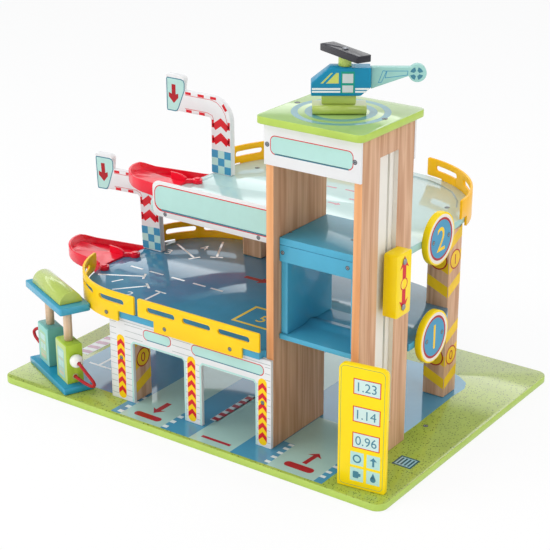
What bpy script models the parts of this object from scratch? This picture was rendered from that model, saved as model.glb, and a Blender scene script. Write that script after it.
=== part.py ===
"""A wooden toy garage: three levels, a lift in a tower, two ramps and a helipad.

All driving sizes are in millimetres. Plan positions are measured from the
front left corner of the base board, heights from its underside. The model's
origin is the centre of that underside, +X to the right, +Y to the back.
"""
import math

import bmesh
import bpy
from mathutils import Matrix
from mathutils import Vector
from mathutils.geometry import delaunay_2d_cdt

MM = 0.001

# Clearances
SEAT = 0.3            # left where one piece rests on or against another
SCREW_PLAY = 0.3      # hole wider than its screw, on the radius
LIFT_PLAY = 1.0       # each side of the lift car in its tower

# Boards
BASE_W = 610.0
BASE_D = 440.0
BASE_T = 9.65
BASE_CORNER = 15.0
DECK_T = 9.7
PLY_T = 3.5
POST = 32.0

# Undersides of the decks and of the roof
DECK_1_Z = 130.4
DECK_2_Z = 245.1
ROOF_Z = 429.7

# Tower
TOWER_X = 414.8
TOWER_W = 132.3
TOWER_Y = 44.8
TOWER_D = 112.6
TOWER_WALL = 10.8
HEADER_H = 50.0
ROOF_W = 146.0
ROOF_D = 140.0
ROOF_T = 9.2
ROOF_OVER_X = 6.9
ROOF_CORNER = 9.0
SLOT_Y = 82.0
SLOT_W = 40.0
SLOT_Z = 50.0
SLOT_TOP = 400.0
LINER_T = 4.8
GROOVE_W = 4.4

# Arched front panel
PANEL_X = 165.4
PANEL_T = 5.0
PANEL_W = 260.1
PIER_LEFT = 38.5
PIER_MID = 28.1
PIER_RIGHT = 23.8
ARCH_SHARE = 0.502    # the left gateway's share of the width between the piers
ARCHES_W = PANEL_W - PIER_LEFT - PIER_MID - PIER_RIGHT
ARCH_1_X = PANEL_X + PIER_LEFT
ARCH_1_W = ARCHES_W * ARCH_SHARE
ARCH_2_X = ARCH_1_X + ARCH_1_W + PIER_MID
ARCH_2_W = ARCHES_W - ARCH_1_W
ARCH_TOP = 96.7
ARCH_CORNER = 3.0

# Lower deck outline
DECK_1_LEFT = 67.0
DECK_1_FRONT = 35.1
DECK_1_BACK = 340.0
DECK_1_RIGHT = 547.0
DECK_1_FRONT_R = 113.0
DECK_1_BACK_R = 116.0
DECK_1_RIGHT_R = 110.0
DECK_1_NOSE_X = 411.3
SHAFT_GAP = 3.6

# Upper deck outline
DECK_2_LEFT = 150.5
DECK_2_FRONT = 129.3
DECK_2_BACK = 450.0
DECK_2_IN = 18.2       # its right edge in from the lower deck's
DECK_2_RIGHT = DECK_1_RIGHT - DECK_2_IN
DECK_2_FRONT_R = 30.0
DECK_2_BACK_R = 150.0

# Signboard on the front edge of the upper deck
BOARD_X = 173.5
BOARD_Z = 243.0
BOARD_H = 48.0
BOARD_R = 9.0

# Posts, by their left and front faces
FRONT_POST_X = 171.0
RIGHT_POST_IN = 31.8  # its left face in from the upper deck's right edge
RIGHT_POST_X = DECK_2_RIGHT - RIGHT_POST_IN
RIGHT_POST_Y = 289.0
BACK_POST_X = 197.0
BACK_POST_Y = 291.0
HIDDEN_POST_X = 102.0
HIDDEN_POST_Y = 205.0

# Fences
FENCE_T = 3.2
FENCE_LIFT = 1.2      # underside of the rail above the deck
FENCE_H = 25.0
TAB_H = 13.4
FENCE_SLOT_Z = 10.4
FENCE_SLOT_H = 7.6
FENCE_END_R = 2.0
FENCE_TIP_R = 12.0
FENCE_GAP = 6.5        # between the two rails of the lower deck's front edge
FENCE_LEFT_RUN = 35.0  # straight ends of the two bent rails of the lower deck
FENCE_BACK_RUN = 39.0
FENCE_PAST_NOSE = 2.2  # the front rail's right end beyond the deck's nose

# Exit signs
SIGN_T = 9.5
SIGN_POST_W = 33.5
SIGN_ARM_TOP = 110.0
SIGN_ARM_H = 30.5
SIGN_OUTER_R = 34.0
SIGN_INNER_R = 5.0
SIGN_PLATE_UP = 21.0   # the hanging plate's top above the arm's top
SIGN_PLATE_LOW = 1.5   # its lowest edge below the arm's underside
SIGN_PLATE_R = 3.0
SIGN_PLATE_CUT = 5.5   # radius of its two inner corners
SIGN_PLATE_LEFT = 79.0
SIGN_PLATE_TOP = 47.1  # its inner edge at the top, from the post's left face
SIGN_PLATE_NECK = 49.7
SIGN_PLATE_FOOT = 57.0
SIGN_1_LEAN = 2.4     # degrees to the left, as it stands in its hole
SIGN_1_X = 65.0
SIGN_1_Y = 229.0
SIGN_2_X = 149.5
SIGN_2_Y = 284.0

# Ramps
RAMP_W = 55.2
RAMP_WALL = 3.0
RAMP_WALL_H = 10.0
RAMP_FLOOR_T = 3.4
RAMP_Y = 158.9
RAMP_OUTER_LINE = 25.0
RAMP_OUTER_R = 70.5
RAMP_INNER_LINE = 23.0
RAMP_INNER_R = 2.0
RAMP_TURN = 112.0
RAMP_STRAIGHT = 80.0
RAMP_CURVE_R = 90.0
RAMP_CURVE = 158.0
RAMP_FALL = (         # turn angle and height of the floor above the deck
    (0.0, 2.5), (56.0, 2.4), (72.0, 1.9), (80.0, 1.4), (88.0, 0.3), (96.0, -3.3),
    (104.0, -8.0), (112.0, -12.6))
RAMP_SKIRT = 55.0
RAMP_SHIFT_X = 83.5
RAMP_SHIFT_Y = 39.7
EYE_R = 7.0
EYE_H = 5.5
ARM_W = 4.0
ARM_LAP = 2.0
EYE_FRONT = (8.3, -25.3)
EYE_BACK = (11.4, 36.9)
PIN_R = 1.8
PIN_HEAD_R = 4.2
PIN_HEAD_H = 1.4
PIN_DEPTH = 7.0

# Level discs and price sign
DISC_R = 34.5
DISC_T = 8.5
DISC_1_Y = 209.0
DISC_2_Y = 249.0
PRICE_W = 61.6
PRICE_H = 160.0
PRICE_T = 8.0
PRICE_R = 8.0
PRICE_X = 538.5
PRICE_Y = 16.0
PRICE_TURN = 7.8

# Lift
LIFT_Y = 55.5
LIFT_D = 101.4
LIFT_Z = 155.5
LIFT_H = 131.5
LIFT_FLOOR_T = 6.5
LIFT_ROOF_T = 9.0
LIFT_CHEEK_T = 9.3
LINTEL_H = 21.0
BUMP_Y = 39.0         # front foot of the bump behind the car's front
BUMP_W = 31.0
BUMP_H = 3.4
HANDLE_GAP = 0.9
HANDLE_T = 18.0
HANDLE_W = 32.6
HANDLE_H = 79.5
HANDLE_Z = 201.5
HANDLE_Y = 110.7
HANDLE_R = 2.5
BOLT_R = 1.8
BOLT_HEAD_R = 4.0
BOLT_HEAD_H = 1.6
BOLT_EDGE = 11.0      # bolt centres from the handle's ends

# Helicopter, on its own axes: u to the tail, v to its left
HELI_X = 480.0
HELI_Y = 98.0
HELI_TURN = 35.3
SKID_L = 61.8
SKID_W = 30.0
SKID_H = 10.7
SKID_R = 4.5
BELLY_U = -20.4
BELLY_L = 39.4
BELLY_W = 14.0
BELLY_H = 10.0
BODY_U = -32.5
BODY_L = 67.9
BODY_W = 22.0
BODY_H = 32.6
NOSE_H = 15.4
NOSE_L = 21.8
TAIL_CUT_L = 11.4
TAIL_CUT_H = 9.9
BOOM_T = 10.0
BOOM_L = 52.7
BOOM_ROOT_H = 25.0
BOOM_DROP = 0.7
BOOM_DISC_R = 10.3
BOOM_DISC_Z = 7.0      # disc centre below the boom's top edge
MAST_U = 6.0
MAST_R = 7.7
MAST_H = 11.0
ROTOR_L = 78.0
ROTOR_W = 20.0
ROTOR_T = 7.8
ROTOR_R = 3.0
ROTOR_TURN = -59.0
HUB_R = 1.5
HUB_HEAD_R = 3.7
HUB_HEAD_H = 1.8
HUB_DEPTH = 8.0

# Petrol island, on its own axes: u along it, v across
ISLAND_OUT_X = 32.9    # its centre out from the lower deck's rounded corner
ISLAND_OUT_Y = 21.6
CORNER_IN = DECK_1_FRONT_R * (1 - math.cos(math.radians(45)))
ISLAND_X = DECK_1_LEFT + CORNER_IN - ISLAND_OUT_X
ISLAND_Y = DECK_1_FRONT + CORNER_IN - ISLAND_OUT_Y
ISLAND_TURN = -24.3
ISLAND_L = 123.0
ISLAND_W = 43.4
ISLAND_T = 9.0
ISLAND_R = 1.0
PUMP_U = 31.6
PUMP_L = 35.0
PUMP_W = 23.5
PUMP_H = 56.3
PUMP_R = 2.5
DOWEL_R = 5.9
DOWEL_H = 48.6
CANOPY_T = 9.5
CANOPY_R = 3.0
CANOPY_TOP_L = 96.0
CANOPY_TOP_R = 16.2
BALL_R = 9.2
BALL_SINK = 2.8
BALL_Z = 44.0         # ball centre above the base board
PEG_R = 2.4
PEG_L = 3.0
HOSE_R = 2.25
HOSE_Z = 19.0         # hose hole above the base board
HOSE_HOLE_DEPTH = 5.0
BALL_HOLE_DEPTH = 3.0
HOSE_LEAD = 4.5        # straight run of a hose out of its ball

# Faces on round work
ROUND = 40
SMALL_ROUND = 20


def clear_scene():
    for old in list(bpy.data.objects):
        bpy.data.objects.remove(old, do_unlink=True)


def place(x, y, z):
    """Metres from the model's origin, for a point given from the base's corner."""
    return Vector(((x - BASE_W / 2) * MM, (y - BASE_D / 2) * MM, z * MM))


def material(name, colour, rough=0.35, metal=0.0):
    mat = bpy.data.materials.new(name)
    mat.use_nodes = True
    shader = mat.node_tree.nodes["Principled BSDF"]
    shader.inputs["Base Color"].default_value = (*colour, 1.0)
    shader.inputs["Roughness"].default_value = rough
    shader.inputs["Metallic"].default_value = metal
    return mat


GREEN = (0.42, 0.55, 0.10)
BLUE = (0.10, 0.33, 0.46)
PALE = (0.62, 0.78, 0.77)
WOOD = (0.58, 0.37, 0.22)
WHITE = (0.85, 0.85, 0.82)
YELLOW = (1.0, 0.60, 0.02)
SUN = (1.0, 0.70, 0.01)
RED = (0.80, 0.01, 0.05)
LIFT_BLUE = (0.08, 0.42, 0.58)
CREAM = (0.75, 0.72, 0.62)
LEAF = (0.50, 0.66, 0.10)
MINT = (0.22, 0.58, 0.52)
TEAL = (0.01, 0.26, 0.40)
DARK = (0.04, 0.035, 0.045)
STEEL = (0.55, 0.55, 0.55)
CORD_RED = (0.58, 0.0, 0.02)


def add(name, mesh, colour, rough=0.35, metal=0.0, parent=None, smooth=False):
    obj = bpy.data.objects.new(name, mesh)
    bpy.context.scene.collection.objects.link(obj)
    obj.data.materials.append(material(name, colour, rough, metal))
    if parent is not None:
        obj.parent = parent
    if smooth:
        mesh.shade_smooth()
        mesh.set_sharp_from_angle(angle=math.radians(35))
    return obj


def arc(cx, cy, radius, start, end, steps):
    """Points on an arc, ends included, angles in degrees."""
    out = []
    for i in range(steps + 1):
        a = math.radians(start + (end - start) * i / steps)
        out.append((cx + radius * math.cos(a), cy + radius * math.sin(a)))
    return out


def circle(cx, cy, radius, steps=SMALL_ROUND):
    return arc(cx, cy, radius, 0.0, 360.0 * (steps - 1) / steps, steps - 1)


def rounded(x0, x1, y0, y1, radii, steps=4):
    """A rectangle, with radii at its corners from the lower left, anticlockwise."""
    corners = ((x0, y0, 1, 1, 180), (x1, y0, -1, 1, 270), (x1, y1, -1, -1, 0), (x0, y1, 1, -1, 90))
    out = []
    for (cx, cy, sx, sy, start), r in zip(corners, radii):
        if r <= 0:
            out.append((cx, cy))
        else:
            out += arc(cx + sx * r, cy + sy * r, r, start, start + 90, steps)
    return out


def face_out(mesh):
    """Turn every face of a closed mesh outwards."""
    bm = bmesh.new()
    bm.from_mesh(mesh)
    bmesh.ops.recalc_face_normals(bm, faces=bm.faces)
    if bm.calc_volume(signed=True) < 0.0:
        bmesh.ops.reverse_faces(bm, faces=bm.faces)
    bm.to_mesh(mesh)
    bm.free()


def inside(x, y, loops):
    """Even-odd test of a point against closed loops."""
    odd = False
    for loop in loops:
        for (x0, y0), (x1, y1) in zip(loop, loop[1:] + loop[:1]):
            if (y0 > y) != (y1 > y) and x < x0 + (x1 - x0) * (y - y0) / (y1 - y0):
                odd = not odd
    return odd


def plate(outline, holes, low, high, turn):
    """A closed mesh of a flat shape between two levels; turn maps (a, b, t) to x, y, z."""
    loops = [outline] + list(holes)
    points = [point for loop in loops for point in loop]
    count = len(points)
    rims = []
    first = 0
    for loop in loops:
        n = len(loop)
        rims += [(first + i, first + (i + 1) % n) for i in range(n)]
        first += n
    found = delaunay_2d_cdt([Vector(p) for p in points], rims, [], 0, 1e-6)
    source = [ids[0] for ids in found[3]]
    faces = []
    for tri in found[2]:
        i, j, k = (source[v] for v in tri)
        (a0, b0), (a1, b1), (a2, b2) = points[i], points[j], points[k]
        if inside((a0 + a1 + a2) / 3, (b0 + b1 + b2) / 3, loops):
            faces.append((k, j, i))
            faces.append((count + i, count + j, count + k))
    for a, b in rims:
        faces.append((a, b, count + b, count + a))
    corners = [turn(a, b, low) for a, b in points] + [turn(a, b, high) for a, b in points]
    mesh = bpy.data.meshes.new("plate")
    mesh.from_pydata([tuple(p) for p in corners], [], faces)
    face_out(mesh)
    return mesh


def flat(a, b, t):
    """Outline in plan, thickness upwards, on the garage's frame."""
    return place(a, b, t)


def facing_front(a, b, t):
    """Outline in x and z, thickness to the back, on the garage's frame."""
    return place(a, t, b)


def facing_side(a, b, t):
    """Outline in y and z, thickness to the right, on the garage's frame."""
    return place(t, a, b)


def own_flat(a, b, t):
    return Vector((a * MM, b * MM, t * MM))


def own_front(a, b, t):
    return Vector((a * MM, t * MM, b * MM))


def own_side(a, b, t):
    return Vector((t * MM, a * MM, b * MM))


def box(x0, x1, y0, y1):
    return [(x0, y0), (x1, y0), (x1, y1), (x0, y1)]


def lathe(profile, steps=ROUND):
    """A turned solid about Z from (radius, height) points, both ends on the axis."""
    points = []
    faces = []
    rings = []
    for r, z in profile:
        if r == 0.0:
            rings.append([len(points)])
            points.append((0.0, 0.0, z * MM))
        else:
            ring = []
            for i in range(steps):
                a = 2 * math.pi * i / steps
                ring.append(len(points))
                points.append((r * math.cos(a) * MM, r * math.sin(a) * MM, z * MM))
            rings.append(ring)
    for low, high in zip(rings, rings[1:]):
        for i in range(steps):
            j = (i + 1) % steps
            if len(low) == 1:
                faces.append((low[0], high[j], high[i]))
            elif len(high) == 1:
                faces.append((low[i], low[j], high[0]))
            else:
                faces.append((low[i], low[j], high[j], high[i]))
    mesh = bpy.data.meshes.new("turned")
    mesh.from_pydata(points, [], faces)
    face_out(mesh)
    return mesh


def moved(mesh, matrix):
    mesh.transform(matrix)
    return mesh


def join_shapes(obj, meshes, operation):
    """Boolean each mesh into obj and keep the result as its mesh."""
    for i, mesh in enumerate(meshes):
        tool = bpy.data.objects.new(obj.name + "_tool", mesh)
        bpy.context.scene.collection.objects.link(tool)
        tool.hide_render = True
        tool.display_type = "WIRE"
        mod = obj.modifiers.new("shape %d" % i, "BOOLEAN")
        mod.operation = operation
        mod.solver = "EXACT"
        mod.object = tool
        graph = bpy.context.evaluated_depsgraph_get()
        result = bpy.data.meshes.new_from_object(obj.evaluated_get(graph))
        obj.modifiers.remove(mod)
        bpy.data.objects.remove(tool, do_unlink=True)
        obj.data = result
    return obj


def empty(name, location, turn=0.0, parent=None):
    obj = bpy.data.objects.new(name, None)
    bpy.context.scene.collection.objects.link(obj)
    obj.parent = parent
    obj.location = location
    obj.rotation_euler = (0.0, 0.0, math.radians(turn))
    return obj


# Heights that follow from the boards
FLOOR = BASE_T + SEAT
DECK_1_TOP = DECK_1_Z + DECK_T
DECK_2_TOP = DECK_2_Z + DECK_T
ROOF_TOP = ROOF_Z + ROOF_T
TOWER_RIGHT = TOWER_X + TOWER_W
TOWER_BACK = TOWER_Y + TOWER_D
PANEL_BACK = TOWER_Y - SEAT
SHAFT_BACK = TOWER_BACK + SHAFT_GAP


def base_board():
    outline = rounded(0, BASE_W, 0, BASE_D, [BASE_CORNER] * 4, 8)
    add("base_board", plate(outline, [], 0.0, BASE_T, flat), GREEN)


def tower():
    top = ROOF_Z - SEAT
    left = box(TOWER_Y, TOWER_BACK, FLOOR, top)
    mesh = plate(left, [], TOWER_X, TOWER_X + TOWER_WALL, facing_side)
    add("tower_left_wall", mesh, WOOD, 0.5)

    slot = box(SLOT_Y, SLOT_Y + SLOT_W, SLOT_Z, SLOT_TOP)
    mesh = plate(left, [slot], TOWER_RIGHT - TOWER_WALL, TOWER_RIGHT, facing_side)
    add("tower_right_wall", mesh, WOOD, 0.5)

    header = box(TOWER_X, TOWER_RIGHT, top - HEADER_H, top)
    mesh = plate(header, [], PANEL_BACK - PLY_T, PANEL_BACK, facing_front)
    add("tower_header_front", mesh, WHITE)
    mesh = plate(header, [], TOWER_BACK + SEAT, TOWER_BACK + SEAT + PLY_T, facing_front)
    add("tower_header_back", mesh, WHITE)

    roof_x = TOWER_X - ROOF_OVER_X
    roof_y = (TOWER_Y + TOWER_BACK) / 2 - ROOF_D / 2
    outline = rounded(roof_x, roof_x + ROOF_W, roof_y, roof_y + ROOF_D, [ROOF_CORNER] * 4)
    add("helipad_board", plate(outline, [], ROOF_Z, ROOF_TOP, flat), GREEN)

    inner = TOWER_RIGHT - TOWER_WALL + SEAT / 2
    groove = (HANDLE_Y - GROOVE_W / 2, HANDLE_Y + GROOVE_W / 2)
    low, high = SLOT_Z + SEAT, SLOT_TOP - SEAT
    mesh = plate(box(SLOT_Y + SEAT, groove[0], low, high), [], inner, inner + LINER_T, facing_side)
    add("slot_liner_front", mesh, CREAM)
    mesh = plate(box(groove[1], SLOT_Y + SLOT_W - SEAT, low, high), [], inner, inner + LINER_T,
                 facing_side)
    add("slot_liner_back", mesh, CREAM)


def arch(x, w):
    r = ARCH_CORNER
    top = ARCH_TOP
    return arc(x + w - r, top - r, r, 0, 90, 3) + arc(x + r, top - r, r, 90, 180, 3)


def arch_panel():
    left, right = PANEL_X, PANEL_X + PANEL_W
    top = DECK_1_Z - SEAT
    outline = [(left, FLOOR), (ARCH_1_X, FLOOR)]
    outline += arch(ARCH_1_X, ARCH_1_W)[::-1]
    outline += [(ARCH_1_X + ARCH_1_W, FLOOR), (ARCH_2_X, FLOOR)]
    outline += arch(ARCH_2_X, ARCH_2_W)[::-1]
    outline += [(ARCH_2_X + ARCH_2_W, FLOOR), (right, FLOOR), (right, top), (left, top)]
    add("arch_panel", plate(outline, [], PANEL_BACK - PANEL_T, PANEL_BACK, facing_front), WHITE)


def pin_spots(level):
    """Plan positions of the two ramp pins on a deck."""
    edge = DECK_1_LEFT + RAMP_SHIFT_X * (level - 1)
    mid = RAMP_Y + RAMP_SHIFT_Y * (level - 1)
    return [(edge + EYE_FRONT[0], mid + EYE_FRONT[1]), (edge + EYE_BACK[0], mid + EYE_BACK[1])]


def decks():
    wall = TOWER_X - SEAT
    left, front, back, right = DECK_1_LEFT, DECK_1_FRONT, DECK_1_BACK, DECK_1_RIGHT
    r = DECK_1_RIGHT_R
    notch_y = RIGHT_POST_Y - SEAT
    notch_x = RIGHT_POST_X - SEAT
    cx, cy = right - r, back - r
    enter = math.degrees(math.asin((notch_y - cy) / r))
    leave = math.degrees(math.acos((notch_x - cx) / r))
    outline = [(DECK_1_NOSE_X, front), (DECK_1_NOSE_X, TOWER_Y - SEAT), (wall, TOWER_Y - SEAT)]
    outline += [(wall, SHAFT_BACK), (right, SHAFT_BACK)]
    outline += arc(cx, cy, r, 0, enter, 6)
    outline += [(notch_x, notch_y)]
    outline += arc(cx, cy, r, leave, 90, 7)
    outline += arc(left + DECK_1_BACK_R, back - DECK_1_BACK_R, DECK_1_BACK_R, 90, 180, 20)
    outline += arc(left + DECK_1_FRONT_R, front + DECK_1_FRONT_R, DECK_1_FRONT_R, 180, 270, 20)
    holes = [circle(x, y, PIN_R + SCREW_PLAY, 12) for x, y in pin_spots(1)]
    add("deck_1", plate(outline, holes, DECK_1_Z, DECK_1_TOP, flat), BLUE)

    left, front, back, right = DECK_2_LEFT, DECK_2_FRONT, DECK_2_BACK, DECK_2_RIGHT
    r = DECK_2_BACK_R
    outline = [(wall, front), (wall, SHAFT_BACK), (right, SHAFT_BACK)]
    outline += arc(right - r, back - r, r, 0, 90, 22)
    outline += arc(left + r, back - r, r, 90, 180, 22)
    outline += arc(left + DECK_2_FRONT_R, front + DECK_2_FRONT_R, DECK_2_FRONT_R, 180, 270, 8)
    holes = [circle(x, y, PIN_R + SCREW_PLAY, 12) for x, y in pin_spots(2)]
    add("deck_2", plate(outline, holes, DECK_2_Z, DECK_2_TOP, flat), PALE)

    board_back = DECK_2_FRONT - SEAT
    outline = rounded(BOARD_X, wall, BOARD_Z, BOARD_Z + BOARD_H, [BOARD_R, 0, 0, BOARD_R])
    mesh = plate(outline, [], board_back - PLY_T, board_back, facing_front)
    add("deck_2_signboard", mesh, WHITE)


def post(name, x, y, low, high):
    add(name, plate(box(x, x + POST, y, y + POST), [], low, high, flat), WOOD, 0.5)


def posts():
    under_1 = DECK_1_Z - SEAT
    under_2 = DECK_2_Z - SEAT
    post("post_front_left", FRONT_POST_X, TOWER_Y, FLOOR, under_1)
    post("post_right", RIGHT_POST_X, RIGHT_POST_Y, FLOOR, under_2)
    post("post_back_lower", HIDDEN_POST_X, HIDDEN_POST_Y, FLOOR, under_1)
    post("post_back_upper", BACK_POST_X, BACK_POST_Y, DECK_1_TOP + SEAT, under_2)


def line_run(x, y, length, out):
    """A piece of route along +X; out is the outward way in Y."""
    return ("line", x, y, out, length)


def arc_run(cx, cy, r, start, end):
    """A piece of route round a corner, its length measured at radius r."""
    way = 1.0 if end > start else -1.0
    return ("arc", cx, cy, r, start, way, abs(math.radians(end - start)) * r)


def walk(route, distance):
    """Point and outward side at a distance along a route."""
    for piece in route:
        if distance <= piece[-1] or piece is route[-1]:
            break
        distance -= piece[-1]
    if piece[0] == "line":
        return Vector((piece[1] + distance, piece[2], 0)), Vector((0, piece[3], 0))
    cx, cy, r, start, way = piece[1:6]
    a = math.radians(start) + way * distance / r
    side = Vector((math.cos(a), math.sin(a), 0))
    return Vector((cx, cy, 0)) + side * r, side


def fence(name, route, deck_top, slots, tab, tip=FENCE_END_R):
    """A rail with round-ended slots and a tab over the deck's edge, bent along its route.

    Slots and tab are given as shares of the rail's length.
    """
    total = sum(piece[-1] for piece in route)
    slots = [(start * total, end * total) for start, end in slots]
    tab = (tab[0] * total, tab[1] * total)
    low = deck_top + FENCE_LIFT
    high = low + FENCE_H
    r = FENCE_END_R
    outline = arc(total - r, high - r, r, 0, 90, 3)
    outline += arc(r, high - r, r, 90, 180, 3)
    outline += arc(tip, low + tip, tip, 180, 270, 5)
    outline += [(tab[0], low), (tab[0], deck_top - TAB_H)]
    outline += [(tab[1], deck_top - TAB_H), (tab[1], low), (total, low)]
    holes = []
    half = FENCE_SLOT_H / 2
    z = deck_top + FENCE_SLOT_Z + half
    for start, end in slots:
        holes.append(arc(start + half, z, half, 90, 270, 6) + arc(end - half, z, half, 270, 450, 6))
    mesh = plate(outline, holes, 0.0, FENCE_T, own_front)
    bm = bmesh.new()
    bm.from_mesh(mesh)
    distance = 0.0
    for piece in route:
        if piece[0] == "arc":
            parts = max(2, round(math.degrees(piece[-1] / piece[3]) / 6))
            for i in range(parts + 1):
                cut = distance + piece[-1] * i / parts
                if 0.5 < cut < total - 0.5:
                    geometry = bm.verts[:] + bm.edges[:] + bm.faces[:]
                    bmesh.ops.bisect_plane(bm, geom=geometry, dist=1e-6,
                                           plane_co=(cut * MM, 0, 0), plane_no=(1, 0, 0))
        distance += piece[-1]
    for vert in bm.verts:
        along, out, height = vert.co / MM
        point, side = walk(route, along)
        point = point + side * (out + SEAT)
        vert.co = place(point.x, point.y, height)
    bm.to_mesh(mesh)
    bm.free()
    face_out(mesh)
    add(name, mesh, YELLOW)


def fences():
    r = DECK_1_FRONT_R
    cx, cy = DECK_1_LEFT + r, DECK_1_FRONT + r
    route = [arc_run(cx, cy, r, 191.5, 270.0), line_run(cx, DECK_1_FRONT, FENCE_LEFT_RUN, -1)]
    fence("fence_deck_1_left", route, DECK_1_TOP, [(0.1054, 0.3108), (0.3740, 0.6032), (0.6770, 0.9114)],
          (0.2107, 0.8561), FENCE_TIP_R)

    start = cx + FENCE_LEFT_RUN + FENCE_GAP
    route = [line_run(start, DECK_1_FRONT, DECK_1_NOSE_X + FENCE_PAST_NOSE - start, -1)]
    fence("fence_deck_1_front", route, DECK_1_TOP,
          [(0.0755, 0.3151), (0.3776, 0.6094), (0.6693, 0.9245)], (0.1354, 0.8620))

    r = DECK_1_BACK_R
    cx, cy = DECK_1_LEFT + r, DECK_1_BACK - r
    route = [arc_run(cx, cy, r, 163.0, 90.0), line_run(cx, DECK_1_BACK, FENCE_BACK_RUN, 1)]
    fence("fence_deck_1_back", route, DECK_1_TOP, [(0.0594, 0.3068), (0.3662, 0.6071), (0.6660, 0.9047)],
          (0.1392, 0.8566))

    r = DECK_2_BACK_R
    cx, cy = DECK_2_LEFT + r, DECK_2_BACK - r
    route = [arc_run(cx, cy, r, 171.5, 94.5)]
    fence("fence_deck_2_left", route, DECK_2_TOP, [(0.0595, 0.2842), (0.3423, 0.5655), (0.6250, 0.8483)],
          (0.1076, 0.8929))

    route = [arc_run(DECK_2_RIGHT - r, cy, r, 81.0, 4.2)]
    fence("fence_deck_2_right", route, DECK_2_TOP, [(0.0741, 0.3113), (0.4218, 0.6466)],
          (0.1353, 0.9037))


def exit_sign(name, x, y, deck_top, lean=0.0):
    """A post with an arm to the left and a hanging plate at its end."""
    w, top = SIGN_POST_W, SIGN_ARM_TOP
    under = top - SIGN_ARM_H
    ro, ri = SIGN_OUTER_R, SIGN_INNER_R
    shape = [(0.0, 0.0), (w, 0.0)]
    shape += arc(w - ro, top - ro, ro, 0, 90, 9)
    r, cut = SIGN_PLATE_R, SIGN_PLATE_CUT
    high, low = top + SIGN_PLATE_UP, under - SIGN_PLATE_LOW
    left = -SIGN_PLATE_LEFT + r
    shape += [(-SIGN_PLATE_NECK, top), (-SIGN_PLATE_TOP - 0.2, high - cut - 1.5)]
    shape += arc(-SIGN_PLATE_TOP - cut, high - cut, cut, 10, 90, 3)
    shape += arc(left, high - r, r, 90, 180, 3)
    shape += arc(left, low + r, r, 180, 270, 3)
    shape += arc(-SIGN_PLATE_FOOT - cut, low + cut, cut, 270, 330, 3)
    shape += [(-SIGN_PLATE_FOOT + 0.5, under)]
    shape += arc(-ri, under - ri, ri, 90, 0, 3)
    base = deck_top + SEAT
    c, s = math.cos(math.radians(lean)), math.sin(math.radians(lean))
    shape[1] = (w, -w * s / c)
    outline = [(x + a * c - b * s, base + a * s + b * c) for a, b in shape]
    add(name, plate(outline, [], y, y + SIGN_T, facing_front), WHITE)


def ramp_route():
    """Stations of the ramp: turn angle, foot of the outer wall, back of the inner wall."""
    half = RAMP_W / 2
    out = []
    for i in range(3):
        t = i / 3
        out.append((0.0, Vector((-SEAT - (RAMP_OUTER_LINE - SEAT) * t, -half)),
                    Vector((-SEAT - (RAMP_INNER_LINE - SEAT) * t, half))))
    outer_c = Vector((-RAMP_OUTER_LINE, RAMP_OUTER_R - half))
    inner_c = Vector((-RAMP_INNER_LINE, half + RAMP_INNER_R))
    for i in range(15):
        turn = RAMP_TURN * i / 14
        a = math.radians(270 - turn)
        way = Vector((math.cos(a), math.sin(a)))
        out.append((turn, outer_c + RAMP_OUTER_R * way, inner_c + RAMP_INNER_R * way))
    heading = math.radians(180 - RAMP_TURN)
    along = Vector((math.cos(heading), math.sin(heading)))
    right = Vector((along.y, -along.x))
    start_out, start_in = out[-1][1], out[-1][2]
    end_out = start_out + along * RAMP_STRAIGHT
    end_in = end_out + right * RAMP_W
    for i in range(1, 8):
        t = i / 7
        out.append((RAMP_TURN, start_out.lerp(end_out, t), start_in.lerp(end_in, t)))
    centre = end_out + right * (RAMP_CURVE_R + half)
    for i in range(1, 17):
        a = -math.radians(RAMP_CURVE * i / 16)
        way = Vector((-right.x * math.cos(a) + right.y * math.sin(a),
                      -right.x * math.sin(a) - right.y * math.cos(a)))
        out.append((RAMP_TURN, centre + way * (RAMP_CURVE_R + half),
                    centre + way * (RAMP_CURVE_R - half)))
    return out


def ramp_heights(route, drop):
    """Height of the floor above the deck at each station."""
    mids = [(o + i) / 2 for turn, o, i in route]
    runs = [0.0]
    for k in range(1, len(route)):
        runs.append(runs[-1] + (mids[k] - mids[k - 1]).length)
    bend = 17
    foot = RAMP_FLOOR_T + SEAT - drop
    out = []
    for k, (turn, o, i) in enumerate(route):
        if k <= bend:
            angles = [a for a, h in RAMP_FALL]
            j = min(max(sum(1 for a in angles if a <= turn) - 1, 0), len(angles) - 2)
            t = (turn - angles[j]) / (angles[j + 1] - angles[j])
            out.append(RAMP_FALL[j][1] + (RAMP_FALL[j + 1][1] - RAMP_FALL[j][1]) * t)
        else:
            t = (runs[k] - runs[bend]) / (runs[-1] - runs[bend])
            top = RAMP_FALL[-1][1]
            out.append(top + (foot - top) * t)
    return runs, out


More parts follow.
